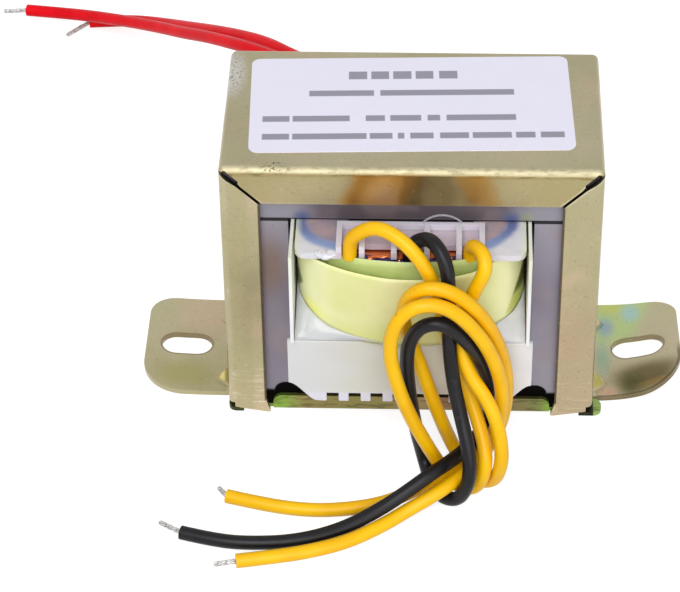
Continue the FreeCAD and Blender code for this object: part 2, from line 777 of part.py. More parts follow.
save("loose_filament", loose_filament())
for colour, route, tip_end in (
    ("yellow_left", yellow_left_route, yellow_left_tip),
    ("black", black_route, black_tip),
    ("yellow_right", yellow_right_route, yellow_right_tip),
    ("red_near", red_near_route, red_near_tip),
    ("red_far", red_far_route, red_far_tip),
):
    save("lead_" + colour, tube("lead_" + colour, route, lead_d))
    save("tip_" + colour, tip("tip_" + colour, route, tip_end))
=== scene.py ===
import math

import bpy
from mathutils import Matrix, Vector, noise


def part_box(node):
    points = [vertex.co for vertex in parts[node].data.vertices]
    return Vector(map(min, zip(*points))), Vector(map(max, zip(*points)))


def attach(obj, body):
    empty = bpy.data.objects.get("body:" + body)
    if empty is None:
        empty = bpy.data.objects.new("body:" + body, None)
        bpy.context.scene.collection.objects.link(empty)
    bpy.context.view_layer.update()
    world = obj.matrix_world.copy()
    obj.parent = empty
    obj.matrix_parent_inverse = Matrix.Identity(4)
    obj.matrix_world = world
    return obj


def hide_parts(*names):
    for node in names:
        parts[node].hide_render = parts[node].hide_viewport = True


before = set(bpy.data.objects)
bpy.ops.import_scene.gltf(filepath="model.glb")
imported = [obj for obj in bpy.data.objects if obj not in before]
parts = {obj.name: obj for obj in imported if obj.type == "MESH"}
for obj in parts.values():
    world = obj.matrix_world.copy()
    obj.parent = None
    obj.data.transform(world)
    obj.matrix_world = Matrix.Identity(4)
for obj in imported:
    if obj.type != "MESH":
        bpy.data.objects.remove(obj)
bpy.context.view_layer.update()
scene = bpy.context.scene
scene.view_settings.view_transform = "Standard"
mm = 0.001


# Camera
# The view is from the front, a little left of the middle, and looks down on the top at 39 degrees
camera_aim = Vector((-13.65, 0.0, 13.58)) * mm
camera_distance = 534.46 * mm
camera_yaw = -0.0454
camera_pitch = 0.6865
camera_roll = -0.0156
camera_lens = 149.0
sensor_width = 36.0


def placed(name, data):
    """An object made from its data, in the scene, at the origin and unturned."""
    piece = bpy.data.objects.new(name, data)
    scene.collection.objects.link(piece)
    return piece


def photo_camera():
    data = bpy.data.cameras.new("photo_camera")
    data.sensor_width = sensor_width
    data.lens = camera_lens
    data.clip_start = 0.01
    camera = placed("photo_camera", data)
    turned = Matrix.Rotation(-camera_yaw, 4, "Z")
    turned = turned @ Matrix.Rotation(math.pi / 2 - camera_pitch, 4, "X")
    turned = turned @ Matrix.Rotation(camera_roll, 4, "Z")
    away = Matrix.Translation((0, 0, camera_distance))
    camera.matrix_world = Matrix.Translation(camera_aim) @ turned @ away
    scene.camera = camera


photo_camera()


# Leads
# Five stranded wires in soft PVC insulation, three soldered at the front rail and two at the back
# The front three hang in one overhand knot and then run out over the ground to bared, tinned tips
lead_d = 2.6 * mm
yellow_left_route = [
    (-0.0107, -0.0253, 0.0433), (-0.0107, -0.0253, 0.0456), (-0.0102, -0.0257, 0.0483),
    (-0.0061, -0.0270, 0.0516), (-0.0019, -0.0290, 0.0506), (0.0016, -0.0314, 0.0481),
    (0.0041, -0.0324, 0.0436), (0.0055, -0.0313, 0.0368), (0.0068, -0.0299, 0.0288),
    (0.0085, -0.0302, 0.0222), (0.0106, -0.0322, 0.0181), (0.0122, -0.0350, 0.0146),
    (0.0136, -0.0380, 0.0110), (0.0140, -0.0408, 0.0080), (0.0128, -0.0402, 0.0025),
    (0.0099, -0.0398, 0.0013), (0.0068, -0.0357, 0.0013), (0.0035, -0.0367, 0.0087),
    (0.0000, -0.0376, 0.0174), (-0.0024, -0.0384, 0.0261), (-0.0035, -0.0387, 0.0333),
    (-0.0026, -0.0388, 0.0391), (0.0000, -0.0387, 0.0426), (0.0036, -0.0384, 0.0435),
    (0.0071, -0.0380, 0.0421), (0.0102, -0.0373, 0.0385), (0.0133, -0.0364, 0.0332),
    (0.0155, -0.0352, 0.0269), (0.0167, -0.0342, 0.0204), (0.0165, -0.0336, 0.0139),
    (0.0151, -0.0338, 0.0080), (0.0124, -0.0370, 0.0051), (0.0084, -0.0420, 0.0053),
    (0.0044, -0.0451, 0.0044), (0.0004, -0.0466, 0.0026), (-0.0038, -0.0492, 0.0014),
    (-0.0101, -0.0537, 0.0013), (-0.0171, -0.0565, 0.0013), (-0.0241, -0.0581, 0.0013),
    (-0.0301, -0.0592, 0.0013),
]
black_route = [
    (-0.0001, -0.0254, 0.0433), (-0.0001, -0.0254, 0.0456), (0.0013, -0.0263, 0.0480),
    (0.0034, -0.0284, 0.0500), (0.0052, -0.0306, 0.0493), (0.0065, -0.0326, 0.0469),
    (0.0068, -0.0336, 0.0428), (0.0069, -0.0338, 0.0362), (0.0071, -0.0349, 0.0302),
    (0.0079, -0.0363, 0.0235), (0.0093, -0.0383, 0.0177), (0.0105, -0.0412, 0.0139),
    (0.0111, -0.0432, 0.0104), (0.0108, -0.0440, 0.0063), (0.0092, -0.0434, 0.0020),
    (0.0062, -0.0422, 0.0013), (0.0041, -0.0383, 0.0015), (0.0028, -0.0334, 0.0029),
    (0.0011, -0.0337, 0.0113), (0.0000, -0.0345, 0.0199), (-0.0005, -0.0353, 0.0276),
    (0.0000, -0.0362, 0.0335), (0.0023, -0.0372, 0.0378), (0.0060, -0.0376, 0.0386),
    (0.0091, -0.0366, 0.0349), (0.0117, -0.0346, 0.0297), (0.0139, -0.0320, 0.0227),
    (0.0150, -0.0303, 0.0158), (0.0144, -0.0300, 0.0099), (0.0120, -0.0324, 0.0064),
    (0.0086, -0.0384, 0.0078), (0.0045, -0.0426, 0.0079), (0.0003, -0.0450, 0.0058),
    (-0.0046, -0.0474, 0.0034), (-0.0114, -0.0511, 0.0017), (-0.0195, -0.0540, 0.0013),
    (-0.0279, -0.0547, 0.0013), (-0.0341, -0.0541, 0.0013), (-0.0404, -0.0522, 0.0013),
]
yellow_right_route = [
    (0.0105, -0.0252, 0.0433), (0.0105, -0.0252, 0.0456), (0.0112, -0.0271, 0.0475),
    (0.0129, -0.0297, 0.0477), (0.0132, -0.0317, 0.0454), (0.0112, -0.0316, 0.0410),
    (0.0093, -0.0319, 0.0337), (0.0091, -0.0333, 0.0284), (0.0109, -0.0352, 0.0245),
    (0.0134, -0.0370, 0.0216), (0.0154, -0.0386, 0.0179), (0.0166, -0.0398, 0.0130),
    (0.0168, -0.0407, 0.0083), (0.0157, -0.0386, 0.0024), (0.0128, -0.0375, 0.0013),
    (0.0103, -0.0336, 0.0013), (0.0079, -0.0295, 0.0029), (0.0054, -0.0312, 0.0115),
    (0.0032, -0.0308, 0.0186), (0.0012, -0.0310, 0.0256), (-0.0008, -0.0324, 0.0326),
    (-0.0013, -0.0342, 0.0393), (0.0010, -0.0358, 0.0444), (0.0048, -0.0363, 0.0455),
    (0.0086, -0.0359, 0.0434), (0.0121, -0.0346, 0.0387), (0.0149, -0.0328, 0.0323),
    (0.0167, -0.0312, 0.0254), (0.0176, -0.0300, 0.0187), (0.0174, -0.0294, 0.0114),
    (0.0158, -0.0303, 0.0058), (0.0125, -0.0334, 0.0039), (0.0084, -0.0376, 0.0044),
    (0.0045, -0.0409, 0.0045), (0.0004, -0.0427, 0.0030), (-0.0041, -0.0439, 0.0015),
    (-0.0095, -0.0453, 0.0013), (-0.0167, -0.0461, 0.0013), (-0.0248, -0.0450, 0.0013),
    (-0.0328, -0.0426, 0.0013),
]
red_near_route = [
    (-0.0057, 0.0204, 0.0460), (-0.0057, 0.0250, 0.0460), (-0.0062, 0.0305, 0.0444),
    (-0.0085, 0.0365, 0.0402), (-0.0140, 0.0425, 0.0355), (-0.0200, 0.0480, 0.0322),
    (-0.0280, 0.0544, 0.0306), (-0.0348, 0.0618, 0.0282), (-0.0404, 0.0694, 0.0246),
    (-0.0447, 0.0755, 0.0215), (-0.0496, 0.0821, 0.0178), (-0.0549, 0.0895, 0.0140),
    (-0.0607, 0.0965, 0.0104), (-0.0670, 0.1028, 0.0072), (-0.0733, 0.1083, 0.0044),
    (-0.0796, 0.1122, 0.0024), (-0.0844, 0.1142, 0.0015), (-0.0883, 0.1150, 0.0013),
]
red_far_route = [
    (0.0000, 0.0204, 0.0460), (0.0000, 0.0250, 0.0460), (0.0000, 0.0305, 0.0444),
    (-0.0020, 0.0365, 0.0396), (-0.0075, 0.0425, 0.0346), (-0.0150, 0.0480, 0.0310),
    (-0.0245, 0.0570, 0.0292), (-0.0307, 0.0666, 0.0260), (-0.0360, 0.0740, 0.0225),
    (-0.0420, 0.0824, 0.0180), (-0.0482, 0.0911, 0.0130), (-0.0545, 0.0998, 0.0080),
    (-0.0596, 0.1055, 0.0048), (-0.0645, 0.1092, 0.0026), (-0.0692, 0.1106, 0.0015),
    (-0.0737, 0.1105, 0.0013),
]


def paint(red, green, blue):
    """A colour given in screen values from 0 to 255, as the linear light that a shader takes."""
    def linear(value):
        share = value / 255
        return share / 12.92 if share <= 0.04045 else ((share + 0.055) / 1.055)**2.4
    return (linear(red), linear(green), linear(blue), 1.0)


def add_node(tree, kind, values, **settings):
    """A node with its settings, each socket given a value or linked to another node's output."""
    made = tree.nodes.new(kind)
    for setting, value in settings.items():
        setattr(made, setting, value)
    for socket, value in values.items():
        if isinstance(value, bpy.types.NodeSocket):
            tree.links.new(value, made.inputs[socket])
        else:
            made.inputs[socket].default_value = value
    return made


class Finish:
    """One material: its surface shader, its coat of colour, and patterns in object space."""

    def __init__(self, name, values):
        self.material = bpy.data.materials.new(name)
        self.material.use_nodes = True
        self.tree = self.material.node_tree
        self.shader = self.tree.nodes["Principled BSDF"]
        for socket, value in values.items():
            self.shader.inputs[socket].default_value = value
        self.place = self.node("ShaderNodeTexCoord", {}).outputs["Object"]
        self.x, self.y, self.z = self.node("ShaderNodeSeparateXYZ", {"Vector": self.place}).outputs

    def node(self, kind, values, **settings):
        return add_node(self.tree, kind, values, **settings)

    def math(self, operation, first, second=0.0):
        return self.node("ShaderNodeMath", {0: first, 1: second}, operation=operation).outputs[0]

    def absolute(self, value):
        return self.math("ABSOLUTE", value)

    def less(self, value, taken):
        return self.math("SUBTRACT", value, taken)

    def meet(self, *shares):
        """The product of the shares, which is 1 only where every one of them is."""
        whole = shares[0]
        for share in shares[1:]:
            whole = self.math("MULTIPLY", whole, share)
        return whole

    def fade(self, value, start, end):
        """0 at start and 1 at end, with a smooth change between them."""
        ranged = {"Value": value, "From Min": start, "From Max": end}
        made = self.node("ShaderNodeMapRange", ranged, interpolation_type="SMOOTHSTEP")
        return made.outputs["Result"]

    def band(self, value, start, end, soft):
        """1 between start and end, fading to 0 over the soft width outside them."""
        return self.meet(self.fade(value, start - soft, start), self.fade(value, end + soft, end))

    def noise(self, size, detail=3.0, stretch=(1, 1, 1), shift=0.0):
        scale = tuple(share / size for share in stretch)
        mapped = {"Vector": self.place, "Scale": scale, "Location": (shift, shift, shift)}
        place = self.node("ShaderNodeMapping", mapped).outputs[0]
        values = {"Vector": place, "Scale": 1.0, "Detail": detail}
        return self.node("ShaderNodeTexNoise", values).outputs["Fac"]

    def mottle(self, size, start, end, **kind):
        """Clouds of a size, 0 where their noise is at start or below it and 1 where it is at end."""
        return self.fade(self.noise(size, **kind), start, end)

    def patch(self, centre, size, soft):
        """1 at the middle of an ellipsoid round the centre, fading to 0 at its surface."""
        away = self.node("ShaderNodeVectorMath", {0: self.place, 1: centre}, operation="SUBTRACT")
        share = self.node("ShaderNodeVectorMath", {0: away.outputs[0], 1: size}, operation="DIVIDE")
        reach = self.node("ShaderNodeVectorMath", {0: share.outputs[0]}, operation="LENGTH")
        return self.fade(reach.outputs["Value"], 1.0, 1.0 - soft)

    def corner(self, side, rise):
        """The distance out from a rounded corner's centre, straight where only one of them is positive."""
        side = self.math("MAXIMUM", side, 0.0)
        rise = self.math("MAXIMUM", rise, 0.0)
        return self.math("SQRT", self.math("ADD", self.meet(side, side), self.meet(rise, rise)))

    def blend(self, share, first, second):
        return self.node("ShaderNodeMix", {0: share, 6: first, 7: second}, data_type="RGBA").outputs[2]

    def coat(self, share, first, second):
        """The ground colour, a blend of two paints."""
        self.tone = self.blend(share, first, second)
        self.feed("Base Color", self.tone)

    def tint(self, colour, amount, *shares):
        """Lays a colour over the coat at the given strength, where the shares are 1."""
        self.coat(self.meet(amount, *shares), self.tone, colour)

    def spots(self, rows, *shares):
        """Lays oval spots in turn, each with its centre and size in mm, softness, colour and strength."""
        for centre, size, soft, colour, amount in rows:
            self.tint(colour, amount, self.patch(Vector(centre) * mm, Vector(size) * mm, soft), *shares)

    def feed(self, socket, value):
        self.tree.links.new(value, self.shader.inputs[socket])

    def bump(self, height, depth):
        values = {"Height": height, "Distance": depth, "Strength": 1.0}
        self.feed("Normal", self.node("ShaderNodeBump", values).outputs["Normal"])


def insulation(name, lit, shaded, gloss, smudge):
    finish = Finish(name, {"Roughness": 0.36, "Specular IOR Level": gloss})
    mottle = finish.noise(6 * mm, detail=4.0)
    finish.coat(finish.fade(mottle, 0.3, 0.7), shaded, lit)
    handled = finish.mottle(7 * mm, 0.6, 0.7, detail=2.0, shift=4.0)
    grime = finish.mottle(0.9 * mm, 0.56, 0.68, shift=2.0)
    rubbed = finish.meet(handled, finish.fade(finish.z, 12 * mm, 20 * mm))
    finish.tint(smudge, 0.3, rubbed, grime)
    finish.bump(finish.noise(0.5 * mm, detail=2.0), 0.012 * mm)
    return finish.material


def tinned_finish():
    finish = Finish("tinned_copper", {"Metallic": 0.6, "Roughness": 0.45})
    mottle = finish.mottle(0.5 * mm, 0.35, 0.65)
    finish.coat(mottle, paint(158, 155, 153), paint(214, 213, 212))
    return finish.material


tinned = tinned_finish()
strand_count = 6
strand_ring_r = 0.31 * mm
strand_r = 0.16 * mm
strand_pitch = 9.0 * mm


def strand_tree():
    """Geometry nodes that twist a ring of strands about one core strand, from a root to an end."""
    tree = bpy.data.node_groups.new("twisted_strands", "GeometryNodeTree")
    wanted = {"Strands": "Int", "Ring Radius": "Float", "Strand Radius": "Float", "Pitch": "Float",
              "Root": "Vector", "End": "Vector", "Finish": "Material"}
    for title, kind in wanted.items():
        tree.interface.new_socket(name=title, in_out="INPUT", socket_type="NodeSocket" + kind)
    tree.interface.new_socket(name="Geometry", in_out="OUTPUT", socket_type="NodeSocketGeometry")
    given = tree.nodes.new("NodeGroupInput").outputs

    def node(kind, values, **settings):
        return add_node(tree, kind, values, **settings)

    run = node("ShaderNodeVectorMath", {0: given["End"], 1: given["Root"]}, operation="SUBTRACT").outputs[0]
    length = node("ShaderNodeVectorMath", {0: run}, operation="LENGTH").outputs["Value"]
    turns = node("ShaderNodeMath", {0: length, 1: given["Pitch"]}, operation="DIVIDE").outputs[0]
    ring = given["Ring Radius"]
    helix = node("GeometryNodeCurveSpiral", {
        "Resolution": 24, "Rotations": turns, "Start Radius": ring, "End Radius": ring, "Height": length,
    })
    step = node("ShaderNodeMath", {0: math.tau, 1: given["Strands"]}, operation="DIVIDE").outputs[0]
    index = node("GeometryNodeInputIndex", {}).outputs[0]
    angle = node("ShaderNodeMath", {0: index, 1: step}, operation="MULTIPLY").outputs[0]
    euler = node("ShaderNodeCombineXYZ", {"Z": angle}).outputs[0]
    turned = node("FunctionNodeEulerToRotation", {0: euler}).outputs[0]
    points = node("GeometryNodePoints", {"Count": given["Strands"]}).outputs[0]
    ringed = node("GeometryNodeInstanceOnPoints", {
        "Points": points, "Instance": helix.outputs[0], "Rotation": turned,
    })
    top = node("ShaderNodeCombineXYZ", {"Z": length}).outputs[0]
    core = node("GeometryNodeCurvePrimitiveLine", {"Start": (0, 0, 0), "End": top})
    joined = node("GeometryNodeJoinGeometry", {})
    tree.links.new(ringed.outputs[0], joined.inputs[0])
    tree.links.new(core.outputs[0], joined.inputs[0])
    section = node("GeometryNodeCurvePrimitiveCircle", {"Resolution": 8, "Radius": given["Strand Radius"]})
    wires = node("GeometryNodeCurveToMesh", {0: joined.outputs[0], 1: section.outputs[0], "Fill Caps": True})
    facing = node("FunctionNodeAlignRotationToVector", {"Vector": run}, axis="Z").outputs[0]
    placed = node("GeometryNodeTransform", {
        "Geometry": wires.outputs[0], "Translation": given["Root"], "Rotation": facing,
    })
    real = node("GeometryNodeRealizeInstances", {0: placed.outputs[0]})
    dressed = node("GeometryNodeSetMaterial", {0: real.outputs[0], "Material": given["Finish"]})
    tree.links.new(dressed.outputs[0], tree.nodes.new("NodeGroupOutput").inputs[0])
    return tree


def grown(name, tree, values):
    """A plain mesh piece made by a geometry nodes tree."""
    seed = placed(name + "_seed", bpy.data.meshes.new(name + "_seed"))
    modifier = seed.modifiers.new("grow", "NODES")
    modifier.node_group = tree
    for item in tree.interface.items_tree:
        if item.in_out == "INPUT":
            modifier[item.identifier] = values[item.name]
    depsgraph = bpy.context.evaluated_depsgraph_get()
    mesh = bpy.data.meshes.new_from_object(seed.evaluated_get(depsgraph))
    seed.modifiers.remove(modifier)
    bpy.data.objects.remove(seed)
    mesh.polygons.foreach_set("use_smooth", [True] * len(mesh.polygons))
    return placed(name, mesh)


twisted_strands = strand_tree()


def bare_strands(name, root, end):
    piece = grown(name, twisted_strands, {
        "Strands": strand_count, "Ring Radius": strand_ring_r, "Strand Radius": strand_r,
        "Pitch": strand_pitch, "Root": root, "End": end, "Finish": tinned,
    })
    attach(piece, "root")
    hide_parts("tip_" + name.removeprefix("strands_"))
    return piece


def lead(name, route, tip_end, covering):
    curve = bpy.data.curves.new(name, "CURVE")
    curve.dimensions = "3D"
    spline = curve.splines.new("NURBS")
    spline.points.add(len(route) - 1)
    for point, place in zip(spline.points, route):
        point.co = (*place, 1.0)
    spline.order_u = 3
    spline.use_endpoint_u = True
    spline.resolution_u = 8
    curve.bevel_depth = lead_d / 2
    curve.bevel_resolution = 6
    curve.use_fill_caps = True
    curve.materials.append(covering)
    piece = placed(name, curve)
    strands = bare_strands("strands_" + name.removeprefix("wire_"), route[-1], tip_end)
    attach(piece, "root")
    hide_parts("lead_" + name.removeprefix("wire_"))


yellow_left_tip = (-0.0340, -0.0594, 0.0006)
black_tip = (-0.0444, -0.0494, 0.0010)
yellow_right_tip = (-0.0344, -0.0402, 0.0010)
red_near_tip = (-0.0935, 0.1149, 0.0010)
red_far_tip = (-0.0784, 0.1062, 0.0006)
yellow_pvc = insulation("yellow_pvc", paint(247, 193, 5), paint(240, 181, 2), 0.3, paint(150, 92, 10))
black_pvc = insulation("black_pvc", paint(22, 21, 26), paint(14, 14, 17), 0.24, paint(70, 68, 70))
red_pvc = insulation("red_pvc", paint(246, 22, 36), paint(232, 14, 28), 0.08, paint(150, 8, 14))
lead("wire_yellow_left", yellow_left_route, yellow_left_tip, yellow_pvc)
lead("wire_black", black_route, black_tip, black_pvc)
lead("wire_yellow_right", yellow_right_route, yellow_right_tip, yellow_pvc)
lead("wire_red_near", red_near_route, red_near_tip, red_pvc)
lead("wire_red_far", red_far_route, red_far_tip, red_pvc)


def dress(names, material):
    """Gives CAD nodes their finish."""
    for name in names:
        parts[name].data.materials.clear()
        parts[name].data.materials.append(material)


# Core sheets
# Sixty-six E sheets and sixty-six I sheets of silicon steel, each 0.5 mm thick, stacked alternately
# They are blued by annealing; the black along their foot is painted shade under the bobbin's lower flange,
# and the darker band at their top is painted shade under its top flange
joint_half = 0.15 * mm
joint_dark = paint(26, 23, 27)
foot_shade_half_w = 25.5 * mm
foot_shade_top = 6.2 * mm
foot_shade_corner_r = 2.2 * mm


def core_finish(name, joint_z):
    finish = Finish(name, {"Metallic": 0.5})
    wide = finish.mottle(22 * mm, 0.35, 0.65)
    finish.coat(wide, paint(134, 127, 140), paint(150, 145, 156))
    high = finish.fade(finish.z, 28 * mm, 44 * mm)
    finish.tint(paint(158, 154, 165), 0.5, high)
    # Painted shade along the top band, under the bobbin's top flange, lifted again towards the ends
    crown_shade = finish.fade(finish.z, 44.6 * mm, 45.4 * mm)
    finish.tint(paint(106, 97, 102), 0.85, crown_shade)
    bare = finish.meet(crown_shade, finish.fade(finish.absolute(finish.x), 15.5 * mm, 20 * mm))
    finish.tint(paint(148, 146, 158), 0.85, bare)
    finish.spots([
        ((-19.4, -17, 45.2), (2.6, 4, 2.2), 0.9, paint(84, 100, 150), 0.8),
        ((17.8, -17, 45.2), (2.6, 4, 2.2), 0.9, paint(84, 100, 150), 0.8),
        ((20.6, -17, 45.6), (1.9, 4, 2.0), 0.9, paint(150, 156, 118), 0.7),
    ])
    warm = finish.mottle(9 * mm, 0.52, 0.72, detail=2.0, shift=3.0)
    finish.tint(paint(150, 134, 134), 0.6, warm)
    finish.spots([((-25.5, -17, 34), (5, 4, 11), 0.9, paint(132, 110, 98), 0.9)])
    specks = finish.mottle(1.1 * mm, 0.74, 0.8, detail=1.0, shift=7.0)
    finish.tint(paint(92, 78, 82), 0.6, specks)
    seam = finish.band(finish.z, joint_z - joint_half, joint_z + joint_half, 0.1 * mm)
    finish.tint(joint_dark, 1.0, seam)
    lapped = finish.band(finish.z, joint_z - 3 * joint_half, joint_z + joint_half, 0.15 * mm)
    lapped = finish.meet(lapped, finish.fade(finish.absolute(finish.x), 21 * mm, 22 * mm))
    finish.tint(joint_dark, 1.0, lapped)
    # Painted shade: a black, matte band with rounded upper corners along the foot, under the bobbin's lower
    # flange
    side = finish.less(finish.absolute(finish.x), foot_shade_half_w - foot_shade_corner_r)
    rise = finish.less(finish.z, foot_shade_top - foot_shade_corner_r)
    round_it = finish.corner(side, rise)
    foot = finish.fade(round_it, foot_shade_corner_r + 0.15 * mm, foot_shade_corner_r - 0.15 * mm)
    foot = finish.math("MAXIMUM", foot, finish.fade(finish.z, 4.8 * mm, 4.0 * mm))
    finish.tint(paint(9, 8, 7), 1.0, foot)
    for socket, unshaded_value, shaded_value in (("Roughness", 0.42, 0.7), ("Specular IOR Level", 0.5, 0.05)):
        finish.feed(socket, finish.node("ShaderNodeMix", {0: foot, 2: unshaded_value, 3: shaded_value}).outputs[0])
    finish.bump(finish.noise(0.7 * mm, stretch=(1, 1, 0.25)), 0.012 * mm)
    return finish.material


e_top_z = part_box("e_sheets_upright")[1].z
i_top_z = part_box("i_sheets_bottom")[1].z
dress(["e_sheets_upright", "i_sheets_top"], core_finish("core_steel_upright", e_top_z))
dress(["e_sheets_inverted", "i_sheets_bottom"], core_finish("core_steel_inverted", i_top_z))


# Bracket
# One sheet of 1 mm steel folded over the core, with mitred flanges and an ear at each side
# It is zinc plated with a yellow chromate, so its olive gold runs to pink, green and blue in patches
bracket_low, bracket_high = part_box("bracket")
wall_x = 34.0 * mm
flange_edge_x = wall_x - 7.1 * mm
front_y = bracket_low.y
roof_z = bracket_high.z
rib_front_y = -10.0 * mm
rib_back_y = 7.5 * mm
slot_middle_x = 43.3 * mm
slot_straight_half = 1.95 * mm
slot_end_r = 2.9 * mm
ear_corner_x = 42.8 * mm
ear_corner_y = -5.56 * mm
ear_corner_r = 8.0 * mm


def bracket_finish():
    finish = Finish("yellow_zinc", {"Metallic": 0.8})
    wide = finish.mottle(26 * mm, 0.35, 0.65, detail=4.0)
    finish.coat(wide, paint(170, 162, 126), paint(187, 178, 148))
    pink = finish.mottle(12 * mm, 0.5, 0.74, shift=5.0)
    finish.tint(paint(198, 172, 146), 0.65, pink)
    green = finish.mottle(17 * mm, 0.54, 0.8, detail=2.0, shift=9.0)
    finish.tint(paint(166, 168, 122), 0.5, green)

    # The flanges beside the window: olive with pink edges, scraped near the foot
    roof = finish.fade(finish.z, roof_z - 0.5 * mm, roof_z - 0.1 * mm)
    finish.tint(paint(154, 146, 120), 0.4, roof)
    on_front = finish.fade(finish.y, front_y + 1.4 * mm, front_y + 0.6 * mm)
    foot = finish.fade(finish.z, 16 * mm, 3 * mm)
    finish.tint(paint(198, 180, 148), 0.6, on_front, foot)
    scrape = finish.mottle(0.5 * mm, 0.56, 0.66, detail=2.0, stretch=(0.12, 1, 1), shift=3.0)
    finish.tint(paint(226, 216, 190), 0.55, scrape, on_front, foot)
    right = finish.fade(finish.x, 26 * mm, 28 * mm)
    lower = finish.fade(finish.z, 34 * mm, 20 * mm)
    finish.tint(paint(164, 144, 114), 0.6, on_front, right, lower)
    left = finish.fade(finish.x, -26 * mm, -30 * mm)
    olive = finish.band(finish.x, -32 * mm, -29.6 * mm, 1.2 * mm)
    finish.tint(paint(168, 160, 120), 0.6, on_front, left, olive)

    # The roof's front fold carries a painted highlight, patchy and with rubbed wear marks, and just under it
    # runs a brown band with darker streaks
    fold = finish.fade(finish.y, front_y + 1.5 * mm, front_y + 0.7 * mm)
    fold = finish.meet(fold, finish.fade(finish.z, roof_z - 1.1 * mm, roof_z - 0.6 * mm))
    uneven = finish.mottle(5 * mm, 0.3, 0.55, detail=4.0, stretch=(0.5, 1, 1), shift=2.0)
    finish.tint(paint(200, 192, 160), 0.7, fold, uneven)
    rubbed = finish.mottle(0.7 * mm, 0.5, 0.62, detail=4.0, stretch=(0.4, 1, 1), shift=14.0)
    finish.tint(paint(150, 138, 108), 0.5, fold, rubbed)
    under = finish.band(finish.z, roof_z - 1.5 * mm, roof_z - 1.1 * mm, 0.25 * mm)
    finish.tint(paint(150, 124, 70), 0.6, under, on_front)
    marks = finish.mottle(0.9 * mm, 0.48, 0.58, detail=4.0, stretch=(0.25, 1, 1), shift=6.0)
    finish.tint(paint(96, 76, 44), 0.75, under, marks, on_front)
    dent = finish.patch((-24 * mm, front_y + 0.5 * mm, roof_z), (3.4 * mm, 2.2 * mm, 1.6 * mm), 0.5)
    flecks = finish.mottle(0.5 * mm, 0.52, 0.58, shift=8.0)
    finish.tint(paint(84, 74, 48), 0.8, dent, flecks)

    # The roof's front flange is tinted darker, and the leads in front of it are painted on it as blurred
    # reflections: amber over the yellow leads, brown over the black one, with pinkish and slate patches
    # between
    side_x = finish.absolute(finish.x)
    over_mitre = finish.less(finish.less(finish.z, side_x), roof_z - wall_x - 0.5 * mm)
    below_fold = finish.fade(finish.z, 56.6 * mm, 55.2 * mm)
    lip = finish.meet(on_front, finish.fade(finish.z, 48.6 * mm, 50.2 * mm), below_fold)
    lip = finish.meet(lip, finish.fade(over_mitre, -0.3 * mm, 0.3 * mm))
    finish.tint(paint(158, 142, 94), 0.6, lip)
    blur = finish.less(finish.noise(8 * mm, shift=13.0), 0.5)
    lean = finish.math("MULTIPLY", finish.less(finish.z, 52 * mm), 0.4)
    drift = finish.math("ADD", finish.x, finish.math("MULTIPLY", blur, 6 * mm))
    slanted = finish.less(drift, lean)
    amber_reflection = finish.band(slanted, -10.0 * mm, -0.5 * mm, 3.0 * mm)
    finish.tint(paint(186, 136, 54), 0.75, lip, amber_reflection)
    pinkish_reflection = finish.patch((-4.6 * mm, front_y, 51.2 * mm), (4.6 * mm, 3 * mm, 4.4 * mm), 0.9)
    finish.tint(paint(172, 138, 102), 0.8, lip, pinkish_reflection)
    brown_reflection = finish.band(drift, -0.4 * mm, 1.6 * mm, 2.4 * mm)
    finish.tint(paint(140, 108, 58), 0.65, lip, brown_reflection)
    slate_reflection = finish.band(drift, 4.0 * mm, 8.4 * mm, 2.8 * mm)
    finish.tint(paint(166, 150, 106), 0.65, lip, slate_reflection)
    slanted = finish.math("ADD", drift, lean)
    amber_reflection = finish.band(slanted, 11.6 * mm, 14.4 * mm, 3.0 * mm)
    finish.tint(paint(176, 134, 62), 0.75, lip, amber_reflection)

    # The sheared inner edges beside the window carry a brown line of painted shade, and the open mitres at
    # the corners are painted black inside as shade, with a painted highlight along their edges
    edge = finish.band(side_x, flange_edge_x - 0.2 * mm, flange_edge_x + 0.25 * mm, 0.2 * mm)
    beside = finish.band(finish.z, 3.4 * mm, 48.8 * mm, 0.8 * mm)
    finish.tint(paint(70, 56, 40), 0.9, edge, on_front, beside)
    wide_end = finish.math("MULTIPLY", finish.fade(finish.z, 52.8 * mm, 54.4 * mm), 0.4 * mm)
    slit = finish.less(finish.absolute(over_mitre), wide_end)
    cut = finish.meet(on_front, finish.fade(finish.z, roof_z - 0.7 * mm, roof_z - 1.1 * mm))
    mitre_highlight = finish.band(slit, 0.5 * mm, 0.7 * mm, 0.2 * mm)
    finish.tint(paint(224, 212, 180), 0.5, mitre_highlight, cut, uneven, finish.fade(finish.z, 49 * mm, 50 * mm))
    finish.tint(paint(14, 12, 8), 0.98, finish.fade(slit, 0.46 * mm, 0.34 * mm), cut)

    # The roof's rear left edge is worn to grey zinc
    worn = finish.patch((-33 * mm, 11 * mm, roof_z), (3.2 * mm, 10 * mm, 3 * mm), 0.8)
    finish.tint(paint(206, 204, 202), 0.75, worn)
    finish.tint(paint(112, 104, 88), 0.6, worn, flecks)
